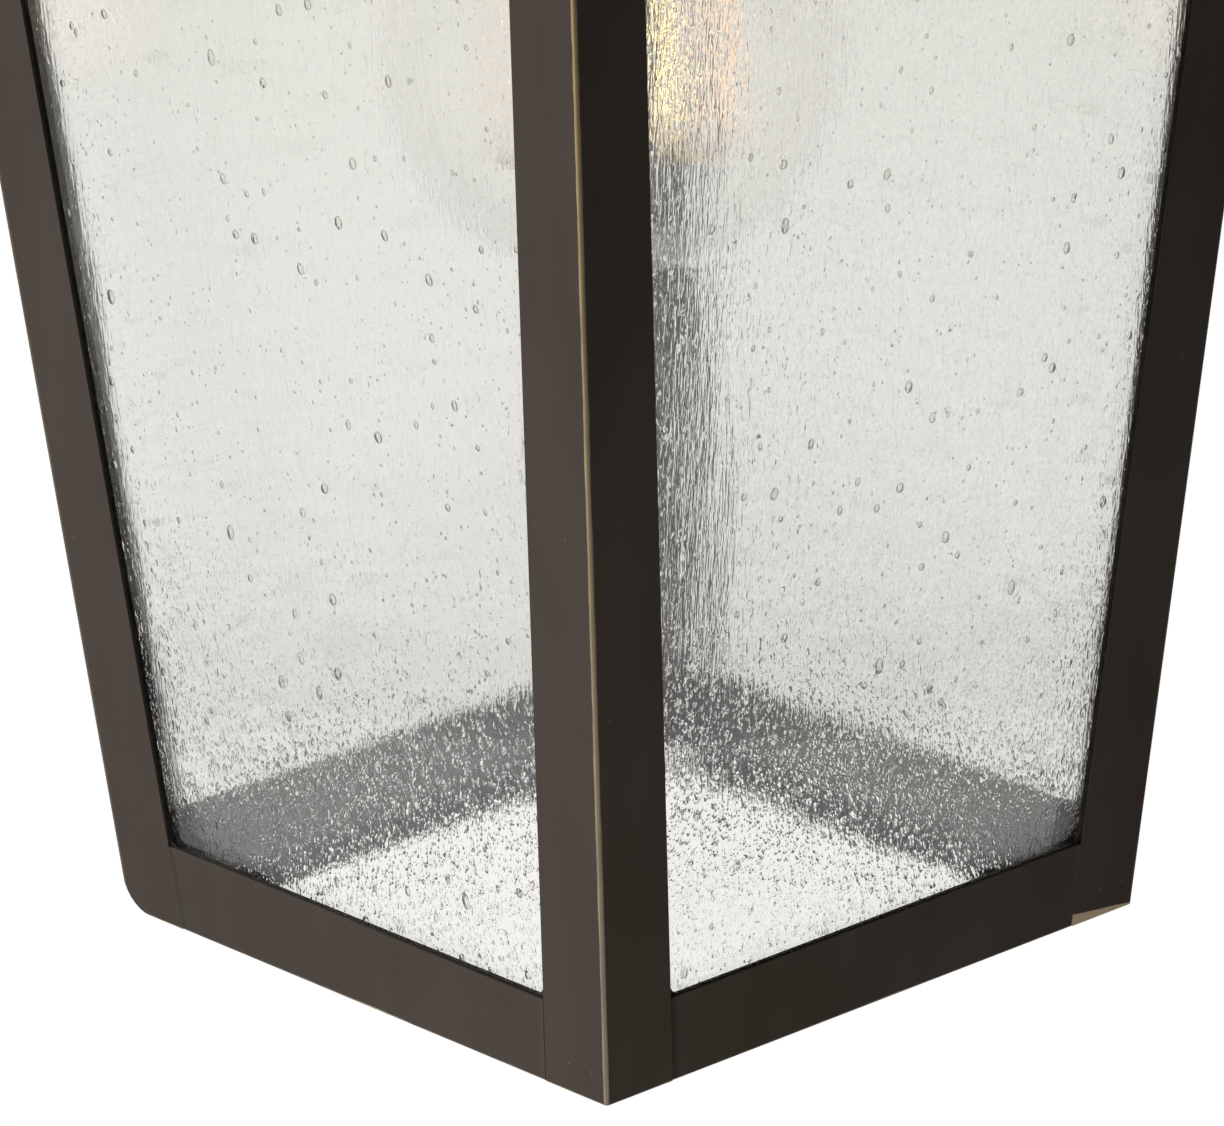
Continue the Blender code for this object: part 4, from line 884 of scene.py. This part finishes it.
def lens(rings, segments):
    """A lens of unit radius in XZ and unit height along Y: points, faces that face in, and rim shares."""
    points = []
    rim = []
    for side in (-1.0, 1.0):
        points.append((0.0, side, 0.0))
        rim.append(0.0)
        for k in range(1, rings):
            r = (k / rings) ** LENS_SPREAD
            for i in range(segments):
                angle = 2 * math.pi * i / segments
                points.append((r * math.cos(angle), side * (1.0 - r * r), r * math.sin(angle)))
                rim.append(BY_RIM if k == rings - 1 else 0.0)
    edge = len(points)
    for i in range(segments):
        angle = 2 * math.pi * i / segments
        points.append((math.cos(angle), 0.0, math.sin(angle)))
        rim.append(1.0)
    half = 1 + (rings - 1) * segments
    triangles = []
    quads = []
    for side in range(2):
        start = side * half
        for i in range(segments):
            n = (i + 1) % segments
            ring = [start + 1 + k * segments for k in range(rings - 1)] + [edge]
            a, b = (i, n) if side else (n, i)
            triangles.append((start, ring[0] + a, ring[0] + b))
            for inner, outer in zip(ring, ring[1:]):
                quads.append((inner + a, outer + a, outer + b, inner + b))
    return np.array(points), np.array(triangles), np.array(quads), np.array(rim)


def scatter(rng, count, half_low, half_high, low, high, apart, crowd):
    """Random places over a tapered pane that keep apart, as (x, z), thicker toward the foot by crowd."""
    kept = []
    tries = 0
    while len(kept) < count and tries < count * 12:
        tries += 1
        z = low + (high - low) * rng.uniform() ** crowd
        half = half_low + (half_high - half_low) * (z - low) / (high - low)
        x = rng.uniform(-half, half)
        near = any(abs(x - px) < apart and abs(z - pz) < apart * 1.6 for px, pz in kept[-160:])
        if not near:
            kept.append((x, z))
    return kept


def sheet(rng, outer, inner, half):
    """Points of a closed slab with gently wandering faces, its quads, and how many of these are its edges."""
    rows = int((PANE_TOP - PANE_BOTTOM) / GRID_STEP)
    columns = int(2 * (half + TAPER * PANE_TOP) / GRID_STEP)
    out_wave = smooth_field(rng, columns, rows, WANDER_WAVES) * WANDER
    in_wave = smooth_field(rng, columns, rows, WANDER_WAVES) * WANDER
    v = np.linspace(0.0, 1.0, rows)[:, None] * np.ones((1, columns))
    u = np.linspace(-1.0, 1.0, columns)[None, :] * np.ones((rows, 1))
    z = PANE_BOTTOM + v * (PANE_TOP - PANE_BOTTOM)
    x = u * (half + TAPER * z)
    y_out = -(outer + TAPER * z) + out_wave
    y_in = -(inner + TAPER * z) - in_wave
    points = [np.stack((x, y, z), -1).reshape(-1, 3) for y in (y_out, y_in)]
    count = rows * columns
    index = np.arange(count).reshape(rows, columns)
    a = index[:-1, :-1].ravel()
    b = index[:-1, 1:].ravel()
    c = index[1:, 1:].ravel()
    d = index[1:, :-1].ravel()
    quads = [np.stack((a, b, c, d), -1), np.stack((d, c, b, a), -1) + count]
    rim = np.concatenate((index[0, :], index[1:, -1], index[-1, -2::-1], index[-2:0:-1, 0]))
    following = np.roll(rim, -1)
    quads.append(np.stack((following, rim, rim + count, following + count), -1))
    return np.concatenate(points), np.concatenate(quads), len(rim)


def placed_seeds(rng, middle, half):
    """Each seed of a pane, as its points, its triangles, its quads and its rim shares."""
    low = PANE_BOTTOM + SEED_MARGIN
    high = PANE_TOP - SEED_MARGIN
    half_low = half + TAPER * PANE_BOTTOM - SEED_MARGIN
    half_high = half + TAPER * PANE_TOP - SEED_MARGIN
    for rings, segments, number, low_r, high_r, apart, crowd, flat, full in SEEDS:
        shape, triangles, quads, rim = lens(rings, segments)
        for x, z in scatter(rng, number, half_low, half_high, low, high, apart, crowd):
            r = low_r + (high_r - low_r) * rng.uniform() ** 2.2
            tall = r * (1.0 + 0.7 * rng.uniform() ** 2.0)
            low_down = (1.0 - z / PANE_TOP) ** 2
            deep = min(r * (flat + (full - flat) * rng.uniform() * low_down), DEEPEST_SEED)
            room = DEEPEST_SEED - deep
            y = -(middle + TAPER * z) + rng.uniform(-room, room)
            points = shape * np.array((r, deep, tall))
            points[:, 0] += points[:, 2] * rng.uniform(-0.10, 0.10)
            points[:, 1] -= points[:, 2] * TAPER
            yield points + np.array((x, y, z)), triangles, quads, rim


def pane_mesh(rng):
    """A pane with gently wandering faces and its seeds as closed bubbles within the sheet."""
    outer = HALF_SIDE - SHEET - GAP
    inner = outer - PANE_THICKNESS
    half = inner - GAP
    slab, slab_quads, edge_quads = sheet(rng, outer, inner, half)
    points = [slab]
    triangles = []
    quads = [slab_quads]
    rims = [np.zeros(len(slab))]
    start = len(slab)
    for seed_points, seed_triangles, seed_quads, seed_rim in placed_seeds(rng, (outer + inner) / 2, half):
        points.append(seed_points)
        triangles.append(seed_triangles + start)
        quads.append(seed_quads + start)
        rims.append(seed_rim)
        start += len(seed_points)
    points = np.concatenate(points)
    triangles = np.concatenate(triangles)
    quads = np.concatenate(quads)
    rims = np.concatenate(rims)

    mesh = bpy.data.meshes.new("pane")
    mesh.vertices.add(len(points))
    mesh.vertices.foreach_set("co", points.astype(np.float32).ravel())
    loops = np.concatenate((quads.ravel(), triangles.ravel()))
    mesh.loops.add(len(loops))
    mesh.loops.foreach_set("vertex_index", loops.astype(np.int32))
    starts = np.concatenate((np.arange(len(quads)) * 4, len(quads) * 4 + np.arange(len(triangles)) * 3))
    mesh.polygons.add(len(starts))
    mesh.polygons.foreach_set("loop_start", starts.astype(np.int32))
    smooth = np.ones(len(starts), bool)
    smooth[len(slab_quads) - edge_quads : len(slab_quads)] = False
    mesh.polygons.foreach_set("use_smooth", smooth)
    mesh.update(calc_edges=True)
    shares = mesh.attributes.new(SEED_RIM, "FLOAT", "POINT")
    shares.data.foreach_set("value", rims.astype(np.float32))
    ends = np.empty(len(mesh.edges) * 2, np.int32)
    mesh.edges.foreach_get("vertices", ends)
    sharp = (rims[ends.reshape(-1, 2)] > 0.9).all(axis=1)
    creases = mesh.attributes.new("sharp_edge", "BOOLEAN", "EDGE")
    creases.data.foreach_set("value", sharp)
    mesh.validate()
    return mesh


def build_panes():
    """Seeded panes, each with its own seeds and its own texture."""
    for turns, side in enumerate(SIDES):
        rng = np.random.default_rng(FIRST_RANDOM_SEED + turns)
        glass = seeded_glass("seeded_glass_drawn_" + side, BUSY[side], FIRST_NOISE_SEED + turns)
        name = "glass_pane_" + side
        stand(name + "_seeded", pane_mesh(rng), glass, "seeded_glass", [name], quarter(turns))


# ---------------------------------------------------------------- bulb


BULB_STEPS = 64
BALL_STEPS = 28
SHOULDER_STEPS = 20
SHOULDER_PULL = 0.014  # how far the outline goes straight on from the ball, before it bends to the neck
NECK_PULL = 0.013
NECK_START = CAP_RIM_Z - 0.004


def turned(profile):
    """Mesh of a profile of (radius, height) pairs turned about Z."""
    mesh = bpy.data.meshes.new("turned")
    edges = [(i, i + 1) for i in range(len(profile) - 1)]
    mesh.from_pydata([(r, 0.0, z) for r, z in profile], edges, [])
    holder = bpy.data.objects.new("holder", mesh)
    bpy.context.scene.collection.objects.link(holder)
    mod = holder.modifiers.new("turn", "SCREW")
    mod.steps = BULB_STEPS
    mod.render_steps = BULB_STEPS
    mod.use_merge_vertices = True
    mod.merge_threshold = 0.00001
    mod.use_smooth_shade = True
    graph = bpy.context.evaluated_depsgraph_get()
    done = bpy.data.meshes.new_from_object(holder.evaluated_get(graph))
    bpy.data.objects.remove(holder)
    bm = bmesh.new()
    bm.from_mesh(done)
    bmesh.ops.recalc_face_normals(bm, faces=bm.faces)
    bm.to_mesh(done)
    bm.free()
    return done


def bulb_side(offset):
    """Half outline of the bulb from its lowest point up to the neck, moved in by offset."""
    centre = BULB_BOTTOM + BULB_RADIUS
    radius = BULB_RADIUS - offset
    points = []
    for i in range(BALL_STEPS + 1):
        angle = -math.pi / 2 + (math.pi / 2 + SHOULDER_ANGLE) * i / BALL_STEPS
        points.append((max(0.0, radius * math.cos(angle)), centre + radius * math.sin(angle)))
    points[0] = (0.0, points[0][1])
    start = Vector(points[-1])
    leave = Vector((-math.sin(SHOULDER_ANGLE), math.cos(SHOULDER_ANGLE)))
    end = Vector((NECK_RADIUS - offset, NECK_START))
    first = start + leave * SHOULDER_PULL
    second = end - Vector((0.0, NECK_PULL))
    for i in range(1, SHOULDER_STEPS + 1):
        t = i / SHOULDER_STEPS
        u = 1 - t
        point = start * u**3 + first * 3 * t * u**2 + second * 3 * t**2 * u + end * t**3
        points.append((point.x, point.y))
    points.append((NECK_RADIUS - offset, NECK_TOP))
    return points


def wire(points, radius):
    """Mesh of a round wire along points."""
    curve = bpy.data.curves.new("wire", "CURVE")
    curve.dimensions = "3D"
    curve.bevel_depth = radius
    curve.bevel_resolution = 1
    curve.use_fill_caps = True
    line = curve.splines.new("POLY")
    line.points.add(len(points) - 1)
    for target, point in zip(line.points, points):
        target.co = (*point, 1.0)
    holder = bpy.data.objects.new("holder", curve)
    bpy.context.scene.collection.objects.link(holder)
    graph = bpy.context.evaluated_depsgraph_get()
    mesh = bpy.data.meshes.new_from_object(holder.evaluated_get(graph))
    bpy.data.objects.remove(holder)
    for polygon in mesh.polygons:
        polygon.use_smooth = True
    return mesh


COIL_RADIUS = 0.00044
COIL_WIRE = 0.00015
COIL_TURNS = 170
COIL_STEPS = 9  # points in each turn
BEND_STEPS = 16


def filament_path():
    """Middle line of the filament in (x, z): two hairpins joined by an arch between them."""
    turn = (FILAMENT_OUTER - FILAMENT_INNER) / 2
    middle = (FILAMENT_OUTER + FILAMENT_INNER) / 2
    low = FILAMENT_LOW_Z + turn
    path = [Vector((-FILAMENT_OUTER, FILAMENT_TOP_Z))]
    for x, z, radius, start, end in (
        (-middle, low, turn, 180.0, 360.0),
        (0.0, FILAMENT_LINK_Z, FILAMENT_INNER, 180.0, 0.0),
        (middle, low, turn, 180.0, 360.0),
    ):
        for i in range(BEND_STEPS + 1):
            angle = math.radians(start + (end - start) * i / BEND_STEPS)
            path.append(Vector((x + radius * math.cos(angle), z + radius * math.sin(angle))))
    path.append(Vector((FILAMENT_OUTER, FILAMENT_TOP_Z)))
    return path


def coiled(path):
    """Points of a coil wound round a path of (x, z) points."""
    reach = [0.0]
    for a, b in zip(path, path[1:]):
        reach.append(reach[-1] + (b - a).length)
    points = []
    steps = COIL_TURNS * COIL_STEPS
    k = 0
    for i in range(steps + 1):
        along = reach[-1] * i / steps
        while k < len(path) - 2 and reach[k + 1] < along:
            k += 1
        step = path[k + 1] - path[k]
        centre = path[k] + step * ((along - reach[k]) / step.length)
        step.normalize()
        angle = 2 * math.pi * i / COIL_STEPS
        out = COIL_RADIUS * math.cos(angle)
        points.append((centre.x - step.y * out, COIL_RADIUS * math.sin(angle), centre.y + step.x * out))
    return points


def build_bulb():
    """The bulb's blown glass and its coiled filament."""
    profile = bulb_side(BULB_WALL) + list(reversed(bulb_side(0.0)))
    for name, mesh, material, slot, replaced in (
        ("bulb_glass_blown", turned(profile), clear_glass("bulb_glass_clear"), "bulb_glass", "bulb_glass"),
        (
            "bulb_filament_coil",
            wire(coiled(filament_path()), COIL_WIRE),
            glowing_tungsten(),
            "filament_tungsten",
            "bulb_filament",
        ),
    ):
        stand(name, mesh, material, slot, [replaced], FILAMENT_ANGLE, "bulb")


# ---------------------------------------------------------------- kept CAD nodes


def hip_wear(look):
    """Wear along the four hips of a pyramid about the lantern's axis."""
    x, y, z = look.axes()
    across_x = look.calc("ABSOLUTE", x)
    across_y = look.calc("ABSOLUTE", look.calc("SUBTRACT", y, LANTERN_Y))
    apart = look.calc("ABSOLUTE", look.calc("SUBTRACT", across_x, across_y))
    edge = look.calc("MULTIPLY", look.noise(120.0, 3.0, 0.6, seed=61.0), 0.0016)
    past_edge = look.calc("SUBTRACT", apart, edge)
    patchy = look.span(look.noise(60.0, 2.0, seed=62.0), 0.35, 0.6, 0.1, 0.9)
    return look.calc("MULTIPLY", look.span(past_edge, -2 * EDGE_BLUR, 2 * EDGE_BLUR, 1.0, 0.0), patchy)


def dress_cad_nodes():
    """Give every kept CAD node its finish."""
    finishes = {
        "roof": satin_bronze("roof_paint", hip_wear),
        "chimney": satin_bronze("chimney_paint", hip_wear),
        "paint": satin_bronze("bronze_paint"),
        "clip": satin_bronze("clip_paint", dark=(0.012, 0.010, 0.008), light=(0.020, 0.016, 0.013)),
        "glass": clear_glass("stem_glass_clear"),
        "nickel": plain_metal("support_nickel_wire", (0.62, 0.60, 0.56), 0.35),
        "aluminium": plain_metal("cap_aluminium_rolled", (0.80, 0.80, 0.79), 0.32),
        "black": soft_plastic("cap_black_glass", (0.012, 0.012, 0.014), 0.2),
        "tin": plain_metal("solder_tin_blob", (0.66, 0.66, 0.65), 0.35, brush=(500.0, 500.0, 500.0)),
        "ceramic": soft_plastic("porcelain_glazed", (0.84, 0.83, 0.78), 0.16, 160.0, 0.00002),
        "brass": plain_metal("shell_brass_drawn", (0.76, 0.57, 0.27), 0.28),
        "silver": plain_metal("terminal_plated", (0.72, 0.71, 0.68), 0.3),
        "steel": plain_metal("zinc_steel", (0.56, 0.57, 0.58), 0.38),
        "foam": soft_plastic("gasket_foam_black", (0.022, 0.022, 0.024), 0.9, 2200.0, 0.00012),
        "green": plain_metal("ground_screw_green", (0.05, 0.26, 0.09), 0.35, 0.8),
        "copper": plain_metal("ground_copper_wire", (0.72, 0.36, 0.20), 0.3),
        "lead_black": soft_plastic("lead_black_skin", (0.015, 0.015, 0.016), 0.4),
        "lead_white": soft_plastic("lead_white_skin", (0.78, 0.77, 0.74), 0.4),
        "orange": soft_plastic("connector_orange_shell", (0.80, 0.26, 0.05), 0.42, 500.0, 0.00003),
    }
    by_start = (
        ("roof", "roof"),
        ("chimney", "chimney"),
        ("cap_collar", "paint"),
        ("cap_nut", "paint"),
        ("washer", "paint"),
        ("socket_cup", "paint"),
        ("arm_locknut", "steel"),
        ("arm", "paint"),
        ("wall_plate", "paint"),
        ("pane_clip", "clip"),
        ("bulb_stem", "glass"),
        ("bulb_glass", "glass"),
        ("bulb_support", "nickel"),
        ("bulb_cap_insulator", "black"),
        ("bulb_cap", "aluminium"),
        ("bulb_tip", "tin"),
        ("socket_insulator", "ceramic"),
        ("socket_screw_shell", "brass"),
        ("socket_contact", "brass"),
        ("socket_terminal_hot", "brass"),
        ("socket_terminal_neutral", "silver"),
        ("socket_strap", "steel"),
        ("nipple", "steel"),
        ("crossbar", "steel"),
        ("stud", "steel"),
        ("wall_gasket", "foam"),
        ("ground_screw", "green"),
        ("ground_wire", "copper"),
        ("lead_hot", "lead_black"),
        ("lead_neutral", "lead_white"),
        ("connector", "orange"),
    )
    for name, node in NODES.items():
        if node.hide_render:
            continue
        finish = next((f for start, f in by_start if name.startswith(start)), None)
        if finish is None:
            raise ValueError("no finish for " + name)
        for slot in node.material_slots:
            slot.material = finishes[finish]


make_camera()
make_stage()
build_posts()
build_rails()
build_beads()
build_panes()
build_bulb()
dress_cad_nodes()
